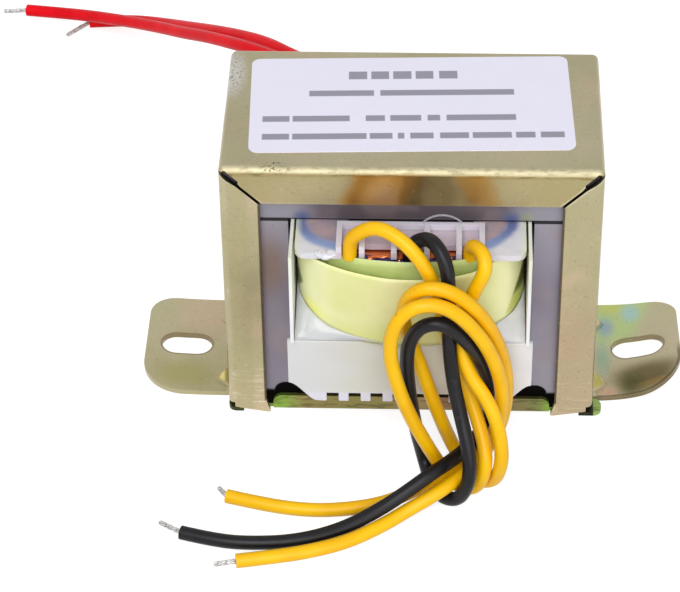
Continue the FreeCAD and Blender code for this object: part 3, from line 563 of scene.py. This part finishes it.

    # The right ear was pressed into a curl, and its chromate broke into leaf green, lime, sky blue, lilac,
    # teal and rose by the wall, and into gold towards its front corner, where the curl's dark reflection is
    # painted in brown and olive
    ear = finish.fade(finish.x, wall_x + 0.4 * mm, wall_x + 1.6 * mm)
    finish.tint(paint(186, 176, 146), 0.6, ear)
    across = finish.math("ADD", finish.x, finish.math("MULTIPLY", finish.y, -0.35))
    inward = finish.fade(across, 43.5 * mm, 39.5 * mm)
    finish.tint(paint(172, 196, 128), 0.8, ear, inward, finish.fade(finish.y, -2 * mm, 5 * mm))
    finish.spots([
        ((38.5, 12.4, 1), (3.6, 2.4, 6), 0.8, paint(192, 194, 104), 0.7),
        ((42.4, 10.6, 1), (2.8, 4.2, 6), 0.9, paint(156, 192, 196), 0.8),
        ((37.4, 6.6, 1), (2.6, 4.4, 6), 0.9, paint(136, 156, 178), 0.8),
        ((36.6, -2.5, 1), (2.4, 8, 6), 0.9, paint(148, 176, 150), 0.8),
        ((37.4, -12.4, 1), (3, 2.2, 6), 0.9, paint(204, 160, 138), 0.8),
        # painted dark reflection of the curl, in brown and olive
        ((44.5, -8.6, 3), (10, 5.4, 8), 0.7, paint(104, 88, 48), 0.85),
        ((41.6, -10.6, 2), (3.8, 5.4, 8), 0.9, paint(84, 88, 46), 0.8),
        ((46.2, -11.4, 4), (5.4, 1.5, 8), 0.9, paint(176, 142, 84), 0.6),
    ], ear)
    rounding = finish.corner(finish.less(finish.x, ear_corner_x), finish.less(ear_corner_y, finish.y))
    outline = finish.fade(rounding, ear_corner_r - 0.5 * mm, ear_corner_r - 0.2 * mm)
    finish.tint(paint(104, 90, 62), 0.8, ear, outline, finish.fade(finish.y, -1 * mm, -5 * mm))

    # The left ear is pinkish by the wall and olive at its front
    ear = finish.fade(finish.x, -wall_x - 0.4 * mm, -wall_x - 1.6 * mm)
    finish.spots([
        ((-40, 9, 1), (9, 8, 8), 0.8, paint(192, 168, 142), 0.7),
        ((-43, -9, 1), (9, 6, 8), 0.8, paint(158, 152, 94), 0.7),
    ], ear)

    # The pressed ribs, each with painted shade on its upper facet and a painted highlight on its lower one,
    # the highlight duller inwards and painted dark by the left wall
    bulge_x = finish.less(side_x, wall_x + 1.2 * mm)
    by_wall = finish.fade(finish.x, -wall_x - 1.7 * mm, -wall_x - 0.8 * mm)
    risen = finish.meet(finish.fade(finish.z, 1.3 * mm, 1.7 * mm), finish.fade(finish.z, 5.4 * mm, 4.6 * mm))
    for rib_y, dulled_highlight in ((rib_front_y, paint(164, 158, 88)), (rib_back_y, paint(226, 200, 168))):
        for shift_y, facet_light_and_shade in ((1.4 * mm, paint(122, 104, 62)), (-1.2 * mm, paint(232, 212, 128))):
            spot = {0: bulge_x, 1: finish.less(finish.y, rib_y + shift_y)}
            spot = finish.node("ShaderNodeCombineXYZ", spot).outputs[0]
            away = finish.node("ShaderNodeVectorMath", {0: spot}, operation="LENGTH").outputs["Value"]
            mask = finish.meet(finish.fade(away, 1.7 * mm, 1.1 * mm), risen)
            finish.tint(facet_light_and_shade, 0.85, mask)
        finish.tint(dulled_highlight, 0.8, mask, finish.fade(finish.x, -1 * mm, 1 * mm))
        finish.tint(paint(104, 92, 50), 0.8, mask, by_wall, finish.fade(finish.x, 1 * mm, -1 * mm))

    # The punched slots' rims, and specks all over
    slot_x = finish.less(finish.absolute(finish.less(side_x, slot_middle_x)), slot_straight_half)
    round_slot = finish.corner(slot_x, finish.absolute(finish.y))
    rim = finish.band(round_slot, slot_end_r - 0.1 * mm, slot_end_r + 0.2 * mm, 0.2 * mm)
    finish.tint(paint(112, 92, 62), 0.7, rim, finish.fade(finish.z, 8 * mm, 6 * mm))
    specks = finish.mottle(0.45 * mm, 0.62, 0.72, detail=2.0, shift=4.0)
    finish.tint(paint(126, 114, 84), 0.4, specks)
    pale = finish.mottle(0.8 * mm, 0.64, 0.76, shift=1.0)
    finish.tint(paint(216, 206, 172), 0.25, pale)
    cloudy = finish.mottle(7 * mm, -0.7, 2.6, shift=11.0)
    finish.feed("Roughness", finish.math("ADD", cloudy, finish.math("MULTIPLY", fold, 0.3)))
    finish.bump(finish.noise(1.0 * mm, detail=4.0, stretch=(1, 1, 0.4)), 0.015 * mm)
    return finish.material


dress(["bracket"], bracket_finish())


# Base plate
# A plate of 0.8 mm zinc plated steel under the core, with an upturned lip at the front and the back
# Its chromate is thicker than the bracket's and shines green, with red brown where the lip was bent

def base_finish():
    finish = Finish("green_zinc", {"Metallic": 0.75, "Roughness": 0.32})
    wide = finish.mottle(9 * mm, 0.4, 0.6, stretch=(0.5, 1, 1))
    finish.coat(wide, paint(140, 130, 76), paint(158, 134, 90))
    red = finish.mottle(5 * mm, 0.56, 0.68, stretch=(0.5, 1, 1), shift=3.0)
    finish.tint(paint(138, 88, 66), 0.6, red)
    end = finish.fade(finish.absolute(finish.x), 19 * mm, 24.5 * mm)
    finish.tint(paint(128, 168, 62), 0.85, end)
    dull = finish.band(finish.x, 17 * mm, 24 * mm, 2 * mm)
    finish.tint(paint(122, 112, 76), 0.7, dull)
    lug_colour_and_shade = finish.fade(finish.x, 28 * mm, 32 * mm)
    finish.tint(paint(150, 172, 104), 0.7, lug_colour_and_shade)
    # Painted shade under the right flange's foot, in black
    shade_under_flange = finish.band(finish.x, 29.8 * mm, 34.2 * mm, 0.2 * mm)
    finish.tint(paint(14, 14, 10), 0.97, shade_under_flange, finish.fade(finish.y, -14 * mm, -15 * mm))
    # Painted shade on the left lug, in dark brown
    lug_colour_and_shade = finish.fade(finish.x, -29 * mm, -31 * mm)
    finish.tint(paint(44, 42, 26), 0.9, lug_colour_and_shade)
    streaks = finish.mottle(0.5 * mm, 0.5, 0.64, stretch=(0.2, 1, 1), shift=6.0)
    finish.tint(paint(66, 60, 32), 0.5, streaks)
    finish.bump(finish.noise(0.9 * mm), 0.012 * mm)
    return finish.material


dress(["base_plate"], base_finish())


# Bobbin
# A nylon moulding: a square tube round the core's tongue with three flanges and a rail at each end
# The natural nylon is milky, and the blue and the copper of the coil show through the top flange
coil_side_x = 20.55 * mm
coil_corner_r = 10.0 * mm
coil_nose_r = 36.0 * mm
coil_end_y = 28.1 * mm
coil_corner_x = coil_side_x - coil_corner_r
coil_corner_y = coil_end_y - coil_nose_r + math.sqrt((coil_nose_r - coil_corner_r)**2 - coil_corner_x**2)


def bobbin_finish():
    finish = Finish("natural_nylon", {
        "Roughness": 0.3,
        "Transmission Weight": 0.12,
        "Subsurface Weight": 0.15,
        "Subsurface Scale": 1.5 * mm,
    })
    mottle = finish.mottle(5 * mm, 0.3, 0.7)
    finish.coat(mottle, paint(222, 222, 232), paint(236, 236, 243))

    # The wound coil seen through the flange: copper, then a blue ring of tape, then clear nylon
    from_middle = finish.absolute(finish.math("ADD", finish.x, 0.95 * mm))
    along_y = finish.absolute(finish.y)
    ring = finish.corner(finish.less(from_middle, coil_corner_x), finish.less(along_y, coil_corner_y))
    blur = finish.math("MULTIPLY", finish.less(finish.noise(4 * mm), 0.5), 1.2 * mm)
    ring = finish.math("ADD", ring, blur)
    top = finish.fade(finish.z, 42.8 * mm, 43.3 * mm)
    low = finish.fade(finish.z, 45.0 * mm, 44.6 * mm)
    flange = finish.meet(top, low)
    copper = finish.fade(ring, coil_corner_r - 1.6 * mm, coil_corner_r - 3.2 * mm)
    warm = finish.mottle(3 * mm, 0.35, 0.65, shift=2.0)
    seen = finish.blend(warm, paint(158, 142, 158), paint(186, 158, 160))
    finish.tint(seen, 0.9, flange, copper)
    tape = finish.band(ring, coil_corner_r - 2.0 * mm, coil_corner_r - 1.3 * mm, 1.4 * mm)
    deep = finish.fade(along_y, 23.5 * mm, 17.5 * mm)
    blue = finish.blend(deep, paint(128, 156, 210), paint(70, 88, 156))
    finish.tint(blue, 0.85, flange, tape)
    rim = finish.fade(finish.absolute(finish.x), 19.0 * mm, 20.4 * mm)
    finish.tint(paint(240, 243, 206), 0.6, flange, rim)
    behind = finish.fade(finish.z, 44.9 * mm, 45.3 * mm)
    finish.tint(paint(226, 220, 234), 0.8, behind)
    inside = finish.fade(finish.absolute(finish.x), 13.4 * mm, 12.9 * mm)
    finish.tint(paint(214, 200, 212), 0.85, flange, inside, finish.fade(along_y, 18.4 * mm, 18.8 * mm))
    finish.bump(finish.noise(1.6 * mm, detail=2.0), 0.01 * mm)
    return finish.material


dress(["bobbin"], bobbin_finish())


# Insulating strips
# A thin white board stands at each side between the coil and the core's outer leg
# Its front edge is free and its face a little uneven, and it lets some light through

def strip_finish():
    finish = Finish("white_film", {"Roughness": 0.38, "Subsurface Weight": 0.2, "Subsurface Scale": 1 * mm})
    wide = finish.mottle(6 * mm, 0.35, 0.65, stretch=(1, 1, 0.4))
    finish.coat(wide, paint(228, 230, 236), paint(242, 243, 246))
    high = finish.fade(finish.z, 36 * mm, 44 * mm)
    finish.tint(paint(232, 236, 206), 0.5, high)
    finish.bump(finish.noise(3 * mm, detail=2.0, stretch=(1, 1, 0.4)), 0.12 * mm)
    return finish.material


dress(["strip_left", "strip_right"], strip_finish())


# Wiring aprons
# A panel of cream fibre board covers the lower coil at the front and the back
# Its lower corners are cut away in a curve and its foot is slotted as a comb
comb_pitch = 4.02 * mm
comb_slots = 8
comb_slot_w = 2.2 * mm
comb_slot_h = 1.9 * mm
apron_corner_w = 5.4 * mm
apron_corner_h = 4.3 * mm


def apron_finish():
    finish = Finish("cream_board", {"Roughness": 0.5, "Specular IOR Level": 0.4})
    middle = finish.fade(finish.absolute(finish.x), 21 * mm, 10 * mm)
    finish.coat(middle, paint(222, 223, 227), paint(223, 221, 206))
    wide = finish.mottle(14 * mm, 0.35, 0.65, stretch=(1, 1, 2))
    finish.tint(paint(233, 234, 236), 0.45, wide)
    # Painted shade, darker towards the left
    finish.tint(paint(202, 205, 207), 0.5, finish.fade(finish.x, 4 * mm, -16 * mm))
    combed = finish.fade(finish.z, 13.2 * mm, 12.2 * mm)
    finish.tint(paint(226, 224, 238), 0.9, combed)
    finish.bump(finish.noise(7 * mm, detail=2.0, stretch=(1, 1, 0.5)), 0.16 * mm)
    return finish.material


def apron_outline():
    """The board's edge seen from the front, with a notch at each slot of the comb."""
    low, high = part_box("apron_front")
    comb_half = comb_pitch * comb_slots / 2
    foot = [(comb_half, low.z)]
    for k in range(comb_slots, 0, -1):
        middle = (k - 0.5 - comb_slots / 2) * comb_pitch
        for x, z in ((middle + comb_slot_w / 2, 0), (middle + comb_slot_w / 2, comb_slot_h),
                     (middle - comb_slot_w / 2, comb_slot_h), (middle - comb_slot_w / 2, 0)):
            foot.append((x, low.z + z))
    foot.append((-comb_half, low.z))
    left = []
    for step in range(1, 12):
        share = step / 11
        swing = share * share * (3 - 2 * share)
        x = -high.x + apron_corner_w * (1 - share)
        left.append((x, low.z + apron_corner_h * swing))
    top = [(-high.x, high.z), (high.x, high.z)]
    right = [(-x, z) for x, z in reversed(left)]
    return foot + left + top + right


def apron_board(name, node, out_y, in_y):
    outline = apron_outline()
    mesh = bpy.data.meshes.new(name)
    order = list(range(len(outline)))
    mesh.from_pydata([(x, out_y, z) for x, z in outline], [], [order if out_y > 0 else order[::-1]])
    mesh.materials.append(cream_board)
    piece = placed(name, mesh)
    solid = piece.modifiers.new("thickness", "SOLIDIFY")
    solid.thickness = abs(out_y - in_y)
    solid.offset = -1.0
    eased = piece.modifiers.new("eased_edges", "BEVEL")
    eased.width = 0.14 * mm
    eased.segments = 2
    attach(piece, "root")
    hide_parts(node)


cream_board = apron_finish()
near_low, near_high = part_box("apron_front")
back_low, back_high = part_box("apron_back")
apron_board("apron_board_front", "apron_front", near_low.y, near_high.y)
apron_board("apron_board_back", "apron_back", back_high.y, back_low.y)


# Windings and tapes
# Two coils of enamelled copper wire, one over the other, each wrapped in polyester tape
# The upper coil has a blue tape and then a yellow one under the loose outer wrap

def copper_finish():
    finish = Finish("enamelled_copper", {"Metallic": 0.85, "Roughness": 0.28})
    finish.coat(finish.noise(3 * mm), paint(196, 98, 58), paint(232, 140, 84))
    turns = finish.math("SINE", finish.math("MULTIPLY", finish.z, math.tau / (0.5 * mm)))
    finish.bump(turns, 0.08 * mm)
    return finish.material


def tape_finish(name, lit, shaded):
    finish = Finish(name, {"Roughness": 0.34, "Specular IOR Level": 0.4})
    finish.coat(finish.mottle(7 * mm, 0.3, 0.7), shaded, lit)
    finish.bump(finish.noise(2 * mm, stretch=(1, 1, 2)), 0.05 * mm)
    return finish.material


copper = copper_finish()
dress(["primary_winding", "secondary_winding"], copper)
# Painted shade: the inner yellow tape is painted darker and greener, for the gap under the slack outer wrap
dress(["yellow_tape_inner"], tape_finish("shaded_yellow_film", paint(198, 212, 138), paint(180, 198, 118)))
dress(["primary_tape"], tape_finish("yellow_film", paint(240, 243, 168), paint(232, 236, 146)))
dress(["blue_tape"], tape_finish("blue_film", paint(40, 48, 112), paint(30, 34, 88)))


# Outer tape
# The last turn of thin yellow polyester tape is slack, so it stands off at the front and gapes at the top
# It is creased where it turns back along the sides of the coil, and it is held tighter at the right
tape_t = 0.12 * mm
tape_gap = 0.13 * mm
tape_low_z = 25.1 * mm
tape_high_z = 42.6 * mm
tape_slack = 1.75 * mm
tape_front_y = -20 * mm
sag_depth = 0.9 * mm
sag_half_w = 15 * mm
held_share = 0.7
held_start_x = 11 * mm
held_run_x = 4 * mm
tape_rows = 18
arc_steps = 22
side_steps = 8


def coil_line(grow, front_shift):
    """Points round the coil seen from above, from its left side over the front and back round."""
    def end(sign, shift):
        steep = math.atan2(coil_corner_y - coil_end_y + coil_nose_r, coil_corner_x)
        middle = coil_end_y - coil_nose_r + shift
        places = []
        for step in range(arc_steps):
            angle = steep * step / arc_steps
            reach = coil_corner_r + grow
            x = coil_corner_x + reach * math.cos(angle)
            places.append((x, coil_corner_y + shift + reach * math.sin(angle)))
        for step in range(arc_steps):
            angle = steep + (math.pi / 2 - steep) * step / arc_steps
            reach = coil_nose_r + grow
            places.append((reach * math.cos(angle), middle + reach * math.sin(angle)))
        half = places + [(0.0, middle + coil_nose_r + grow)]
        full = half + [(-x, y) for x, y in reversed(half[:-1])]
        return [(sign * x, sign * y) for x, y in full]

    front = end(-1, front_shift)
    back = end(1, 0.0)
    sides = []
    for start, stop in ((front[-1], back[0]), (back[-1], front[0])):
        runs = range(1, side_steps)
        sides.append([(start[0], start[1] + (stop[1] - start[1]) * k / side_steps) for k in runs])
    return front + sides[0] + back + sides[1]


def thin_sheet(name, columns, thickness, closed, material):
    """A sheet of quads from equally long columns of points, thickened towards the coil."""
    rows = len(columns[0])
    count = len(columns)
    faces = []
    for i in range(count if closed else count - 1):
        for j in range(rows - 1):
            k = (i + 1) % count
            faces.append((i * rows + j, k * rows + j, k * rows + j + 1, i * rows + j + 1))
    mesh = bpy.data.meshes.new(name)
    mesh.from_pydata([place for column in columns for place in column], [], faces)
    mesh.polygons.foreach_set("use_smooth", [True] * len(faces))
    mesh.materials.append(material)
    piece = placed(name, mesh)
    solid = piece.modifiers.new("thickness", "SOLIDIFY")
    solid.thickness = thickness
    solid.offset = -1.0
    return piece


def outer_tape_finish():
    finish = Finish("slack_yellow_film", {"Roughness": 0.33, "Specular IOR Level": 0.4})
    wide = finish.mottle(9 * mm, 0.3, 0.7)
    finish.coat(wide, paint(231, 235, 160), paint(242, 244, 186))
    lower = finish.fade(finish.z, 31 * mm, 26 * mm)
    finish.tint(paint(222, 227, 140), 0.6, lower)
    # Painted light, lighter towards the sides of the coil
    painted_side_light = finish.fade(finish.absolute(finish.x), 13 * mm, 18 * mm)
    finish.tint(paint(252, 254, 208), 0.75, painted_side_light)
    # Painted shade in a deep crease at the right edge, narrowing upward, and in a small three-cornered one at
    # the left
    at_front = finish.fade(finish.y, -13 * mm, -15 * mm)
    lean = finish.less(finish.x, finish.math("MULTIPLY", finish.less(finish.z, 30 * mm), 0.33))
    height = finish.band(finish.z, 29.6 * mm, 41 * mm, 1.4 * mm)
    finish.tint(paint(208, 217, 100), 0.85, finish.fade(lean, 17 * mm, 17.8 * mm), height, at_front)
    height = finish.band(finish.z, 33.6 * mm, 42 * mm, 1.6 * mm)
    finish.tint(paint(74, 84, 14), 0.95, finish.fade(lean, 17.2 * mm, 17.8 * mm), height, at_front)
    height = finish.absolute(finish.less(finish.z, 34.4 * mm))
    notch = finish.less(finish.math("MULTIPLY", finish.x, -1.0), finish.math("MULTIPLY", height, 0.35))
    finish.tint(paint(116, 130, 72), 0.9, finish.fade(notch, 19.1 * mm, 19.5 * mm), at_front)
    finish.spots([((-17.4, -22.5, 29.4), (4.4, 5, 4), 0.9, paint(246, 249, 112), 0.7)])
    finish.bump(finish.noise(1.4 * mm, stretch=(1, 1, 1.6)), 0.05 * mm)
    return finish.material


def slack_tape():
    columns = []
    tight = coil_line(0.0, 0.0)
    loose = coil_line(0.0, tape_slack)
    for (x0, y0), (x1, y1) in zip(tight, loose):
        column = []
        middle = max(0.0, 1 - (x0 / sag_half_w)**2) if y0 < tape_front_y else 0.0
        top = tape_high_z - sag_depth * middle
        out = Vector((x0, y0, 0.0)).normalized()
        loose_share = 1 - held_share * min(1.0, max(0.0, (x0 - held_start_x) / held_run_x))
        for row in range(tape_rows):
            share = row / (tape_rows - 1)
            z = tape_low_z + (top - tape_low_z) * share
            ease = share**1.2 * loose_share
            place = Vector((x0 + (x1 - x0) * ease, y0 + (y1 - y0) * ease, z))
            crumple = noise.noise(Vector((x0, y0, z * 0.6)) / (3.2 * mm)) * 0.06 * mm
            crumple += noise.noise(Vector((x0 * 1.5, y0, z)) / (9 * mm)) * 0.08 * mm
            column.append(place - out * (tape_gap - crumple))
        columns.append(column)
    piece = thin_sheet("slack_tape", columns, tape_t, True, outer_tape_finish())
    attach(piece, "root")
    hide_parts("yellow_tape_outer")


slack_tape()


# Corner films
# Clear film is wrapped over the lower corners of the upper coil and tucked behind the apron
# Only its curved upper edges and a few creases show
film_t = 0.08 * mm
film_lift = 0.03 * mm
film_side_x = 20.78 * mm
film_back_y = -13 * mm
film_belly = 0.3 * mm
film_rough = 0.14 * mm
film_rows = 10


def film_finish():
    finish = Finish("clear_film", {"Roughness": 0.25, "Specular IOR Level": 0.5, "Alpha": 0.93})
    wide = finish.mottle(5 * mm, 0.35, 0.65)
    finish.coat(wide, paint(205, 207, 211), paint(220, 222, 225))
    # Painted shade, darker towards the left
    finish.tint(paint(190, 193, 197), 0.6, finish.fade(finish.x, 4 * mm, -12 * mm))
    crinkle = finish.noise(2.2 * mm, stretch=(1, 1, 0.6))
    finish.bump(crinkle, 0.18 * mm)
    return finish.material


def edge_height(place, edge):
    """The height of the film's upper edge at a distance along the coil's line."""
    for (near, low), (far, high) in zip(edge, edge[1:]):
        if near <= place <= far:
            return low + (high - low) * (place - near) / (far - near)
    return edge[-1][1] if place > edge[-1][0] else edge[0][1]


def corner_film(name, side, edge):
    """A film from the apron's top up to its edge, given as distances along the coil and heights in mm."""
    foot_low, foot_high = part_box("apron_front")
    start_x = edge[0][0] * mm
    line = [(x, y) for x, y in coil_line(film_lift, 0.0) if y < film_back_y and side * x > start_x]
    line.sort(key=lambda spot: side * spot[0] - spot[1] / 1000 if spot[1] < -coil_corner_y else 1.0 + spot[1])
    columns = []
    for x, y in line:
        measure = side * x if y < -coil_corner_y else coil_side_x + coil_corner_y + y
        high = edge_height(measure / mm, edge) * mm
        rise = max(0.0, (high - tape_low_z) / (tape_high_z - tape_low_z))
        top = Vector((x, y - tape_slack * rise**1.2, high))
        if y > -coil_corner_y:
            top.x = side * film_side_x
        foot_x = side * min(film_side_x, side * x + 0.3 * mm)
        foot = Vector((foot_x, foot_low.y + 0.1 * mm, foot_high.z))
        column = []
        for row in range(film_rows):
            share = row / (film_rows - 1)
            place = foot.lerp(top, share)
            bulge = film_belly + noise.noise(place / (3 * mm)) * film_rough
            column.append(place + Vector((0, -1, 0.5)) * bulge * math.sin(math.pi * share))
        columns.append(column if side > 0 else column[::-1])
    piece = thin_sheet(name, columns, film_t, False, clear_film)
    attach(piece, "root")


clear_film = film_finish()
left_edge = [(3.5, 25.2), (6.0, 25.9), (11.4, 26.6), (14.7, 27.4), (18.5, 29.4), (20.3, 31.0), (24.0, 33.5)]
right_edge = [(14.0, 26.2), (15.6, 28.2), (18.5, 28.9), (20.4, 30.2), (21.5, 32.5), (24.0, 34.5)]
corner_film("corner_film_left", -1, left_edge)
corner_film("corner_film_right", 1, right_edge)


def scrap_finish():
    finish = Finish("crumpled_film", {"Roughness": 0.15, "Specular IOR Level": 0.6, "Alpha": 0.75})
    # Painted glint: the clear film is painted near white, brightest along thin curved lines
    ridge = finish.absolute(finish.less(finish.noise(1.6 * mm, detail=1.0), 0.5))
    glint_lines = finish.fade(ridge, 0.06, 0.02)
    finish.coat(glint_lines, paint(226, 228, 236), paint(252, 252, 255))
    finish.bump(finish.noise(0.9 * mm, detail=2.0), 0.12 * mm)
    return finish.material


scrap_left_x = -16.8 * mm
scrap_w = 3.8 * mm
scrap_back_y = -25.2 * mm
scrap_top_z = 44.62 * mm
scrap_bend_r = 0.9 * mm
scrap_lap = 0.8 * mm
scrap_columns = 22
scrap_rows = 11


def film_scrap():
    """A crumpled end of the film, caught over the top flange's edge beside the rail."""
    columns = []
    for i in range(scrap_columns):
        along = i / (scrap_columns - 1)
        x = scrap_left_x + scrap_w * along
        depth = 0.55 + 0.45 * math.sin(math.pi * along)
        column = []
        for j in range(scrap_rows):
            share = j / (scrap_rows - 1) * 1.6
            angle = math.pi / 2 * max(0.0, share - 0.6)
            y = scrap_back_y - (scrap_bend_r * math.sin(angle) + scrap_lap * min(1.0, share)) * depth
            z = scrap_top_z - scrap_bend_r * (1 - math.cos(angle)) * depth
            rough = noise.noise(Vector((x, y, z)) / (0.9 * mm)) * 0.16 * mm
            column.append((x + rough, y + rough * 0.7, z + abs(rough)))
        columns.append(column)
    piece = thin_sheet("film_scrap", columns, 0.03 * mm, False, scrap_finish())
    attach(piece, "root")


film_scrap()


# Tape edge
# The inner yellow tape was laid a little high at the front, so its edge stands before the top flange
# It droops towards its ends, where the flange covers it
edge_half_w = 15.0 * mm
edge_inset = 0.42 * mm
edge_droop = 0.9 * mm
edge_rows = 5
edge_low_z = 38.0 * mm
edge_high_z = 44.1 * mm


def tape_edge():
    columns = []
    for x, y in coil_line(-edge_inset, 0.0):
        if y > tape_front_y or abs(x) > edge_half_w:
            continue
        column = []
        droop = edge_droop * (abs(x) / edge_half_w)**3
        for row in range(edge_rows):
            share = row / (edge_rows - 1)
            z = edge_low_z + (edge_high_z - droop - edge_low_z) * share
            rough = noise.noise(Vector((x, y, z)) / (4 * mm)) * 0.05 * mm
            column.append((x, y + rough, z + rough))
        columns.append(column)
    # The edge takes the inner tape's finish, with its painted shade
    piece = thin_sheet("tape_edge", columns, 0.06 * mm, False, parts["yellow_tape_inner"].data.materials[0])
    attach(piece, "root")


tape_edge()


# Label
# A sheet of pale glossy paper glued on top of the bracket
# Four rows of plain grey bars stand in place of its print, each row with its height over the label's
# middle, half its thickness and the ends of its bars, in mm
label_turn = math.radians(1.9)
label_middle = (-0.4 * mm, 2.0 * mm)
label_rows = [
    (8.9, 1.15, [(-11.1, -7.9), (-7.0, -3.9), (-3.0, 0.2), (1.1, 4.2), (5.4, 8.6)]),
    (3.3, 0.8, [(-18.3, -6.7), (-5.4, 18.7)]),
    (-4.5, 0.8, [(-26.6, -21.9), (-21.2, -11.1), (-8.1, -4.8), (-3.7, 1.7), (3.0, 5.1), (6.4, 18.7)]),
    (-9.9, 0.8, [(-26.6, -21.9), (-21.2, -8.1), (-7.4, -3.5), (-2.4, -1.4), (-0.2, 3.8), (5.1, 10.1),
                 (10.9, 17.7), (18.6, 21.9), (23.0, 27.1)]),
]


def label_finish():
    finish = Finish("label_paper", {"Roughness": 0.42})
    finish.coat(finish.noise(6 * mm), paint(232, 230, 246), paint(237, 235, 250))
    east = finish.less(finish.x, label_middle[0])
    north = finish.less(finish.y, label_middle[1])
    turn_x, turn_y = math.cos(label_turn), math.sin(label_turn)
    along = finish.math("ADD", finish.math("MULTIPLY", east, turn_x), finish.math("MULTIPLY", north, turn_y))
    over = finish.less(finish.math("MULTIPLY", north, turn_x), finish.math("MULTIPLY", east, turn_y))
    soft = 0.15 * mm
    for height, half, words in label_rows:
        row = finish.band(over, (height - half) * mm, (height + half) * mm, soft)
        filled = 0.0
        for start, end in words:
            word = finish.band(along, start * mm, end * mm, soft)
            filled = finish.math("MAXIMUM", word, filled)
        finish.tint(paint(120, 119, 133), 0.85, row, filled)
    finish.bump(finish.noise(0.6 * mm), 0.004 * mm)
    return finish.material


dress(["label"], label_finish())


# Solder joints and copper tails
# The ends of the windings, a few turns of enamelled copper wire, lie in the notches of the rail
# Each lead's inner end is soldered to one of them over its outlet, in a drop of bright solder
dress(["lead_joints"], tinned)
tail_runs = [
    ((-0.0074, -0.0257, 0.04345), (-0.0040, -0.0250, 0.04345)),
    ((-0.00185, -0.0262, 0.04345), (-0.00185, -0.0242, 0.04345)),
    ((0.0040, -0.0250, 0.04345), (0.0074, -0.0257, 0.04345)),
]
for name, (root, end) in zip(("coil_tail_left", "coil_tail_middle", "coil_tail_right"), tail_runs):
    tail = grown(name, twisted_strands, {
        "Strands": 3, "Ring Radius": 0.19 * mm, "Strand Radius": 0.15 * mm,
        "Pitch": 7 * mm, "Root": root, "End": end, "Finish": copper,
    })
    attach(tail, "root")
    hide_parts("winding_tails")


# Loose filament
# A hair of clear plastic, such as moulding or gluing leaves behind, stands in an arch on the front rail
# It is thinner than a bristle and nearly clear

def filament_finish():
    finish = Finish("clear_filament", {"Roughness": 0.2, "Alpha": 0.36})
    finish.coat(finish.noise(2 * mm), paint(176, 176, 186), paint(206, 206, 214))
    return finish.material


dress(["loose_filament"], filament_finish())


# Floor and light
# A plain pale table under the part, a pale surround and two soft lamps in front, at a plain level
# The camera, metal and glass see the table and the surround as white, and the table keeps the shadow
floor_half = 3.0
floor_drop = 0.02 * mm
floor_level = 0.5
floor_glow = 0.75
world_level = 0.5
lamp_aim = Vector((0, 0, 0.02))


def seen_by_eye(tree):
    """1 for rays from the camera, straight or by way of metal and glass."""
    path = add_node(tree, "ShaderNodeLightPath", {}).outputs
    total = path["Is Camera Ray"]
    for kind in ("Is Glossy Ray", "Is Transmission Ray"):
        total = add_node(tree, "ShaderNodeMath", {0: total, 1: path[kind]}, operation="MAXIMUM").outputs[0]
    return total


def floor():
    mesh = bpy.data.meshes.new("floor")
    corners = [(-1, -1), (1, -1), (1, 1), (-1, 1)]
    mesh.from_pydata([(a * floor_half, b * floor_half, -floor_drop) for a, b in corners], [], [(0, 1, 2, 3)])
    piece = placed("floor", mesh)
    material = bpy.data.materials.new("white_table")
    material.use_nodes = True
    tree = material.node_tree
    tree.nodes.remove(tree.nodes["Principled BSDF"])
    grey = (floor_level, floor_level, floor_level, 1.0)
    matte = add_node(tree, "ShaderNodeBsdfDiffuse", {"Color": grey}).outputs[0]
    glow = add_node(tree, "ShaderNodeEmission", {"Strength": floor_glow}).outputs[0]
    both = add_node(tree, "ShaderNodeAddShader", {0: matte, 1: glow}).outputs[0]
    seen = add_node(tree, "ShaderNodeMixShader", {0: seen_by_eye(tree), 1: matte, 2: both}).outputs[0]
    tree.links.new(seen, tree.nodes["Material Output"].inputs["Surface"])
    mesh.materials.append(material)


def surround():
    world = bpy.data.worlds.new("surround")
    world.use_nodes = True
    tree = world.node_tree
    white = (1.0, 1.0, 1.0, 1.0)
    light = tree.nodes["Background"]
    light.inputs["Strength"].default_value = world_level
    light.inputs["Color"].default_value = white
    light = light.outputs[0]
    backdrop = add_node(tree, "ShaderNodeBackground", {"Color": white}).outputs[0]
    seen = add_node(tree, "ShaderNodeMixShader", {0: seen_by_eye(tree), 1: light, 2: backdrop}).outputs[0]
    tree.links.new(seen, tree.nodes["World Output"].inputs["Surface"])
    scene.world = world


def soft_lamp(name, place, side, power):
    data = bpy.data.lights.new(name, "AREA")
    data.shape = "SQUARE"
    data.size = side
    data.energy = power
    lamp = placed(name, data)
    lamp.location = place
    lamp.rotation_euler = (lamp_aim - Vector(place)).to_track_quat("-Z", "Y").to_euler()


floor()
surround()
soft_lamp("key_lamp", (-0.15, -0.85, 0.9), 0.7, 8.0)
soft_lamp("fill_lamp", (0.4, -1.0, 0.4), 0.8, 4.2)
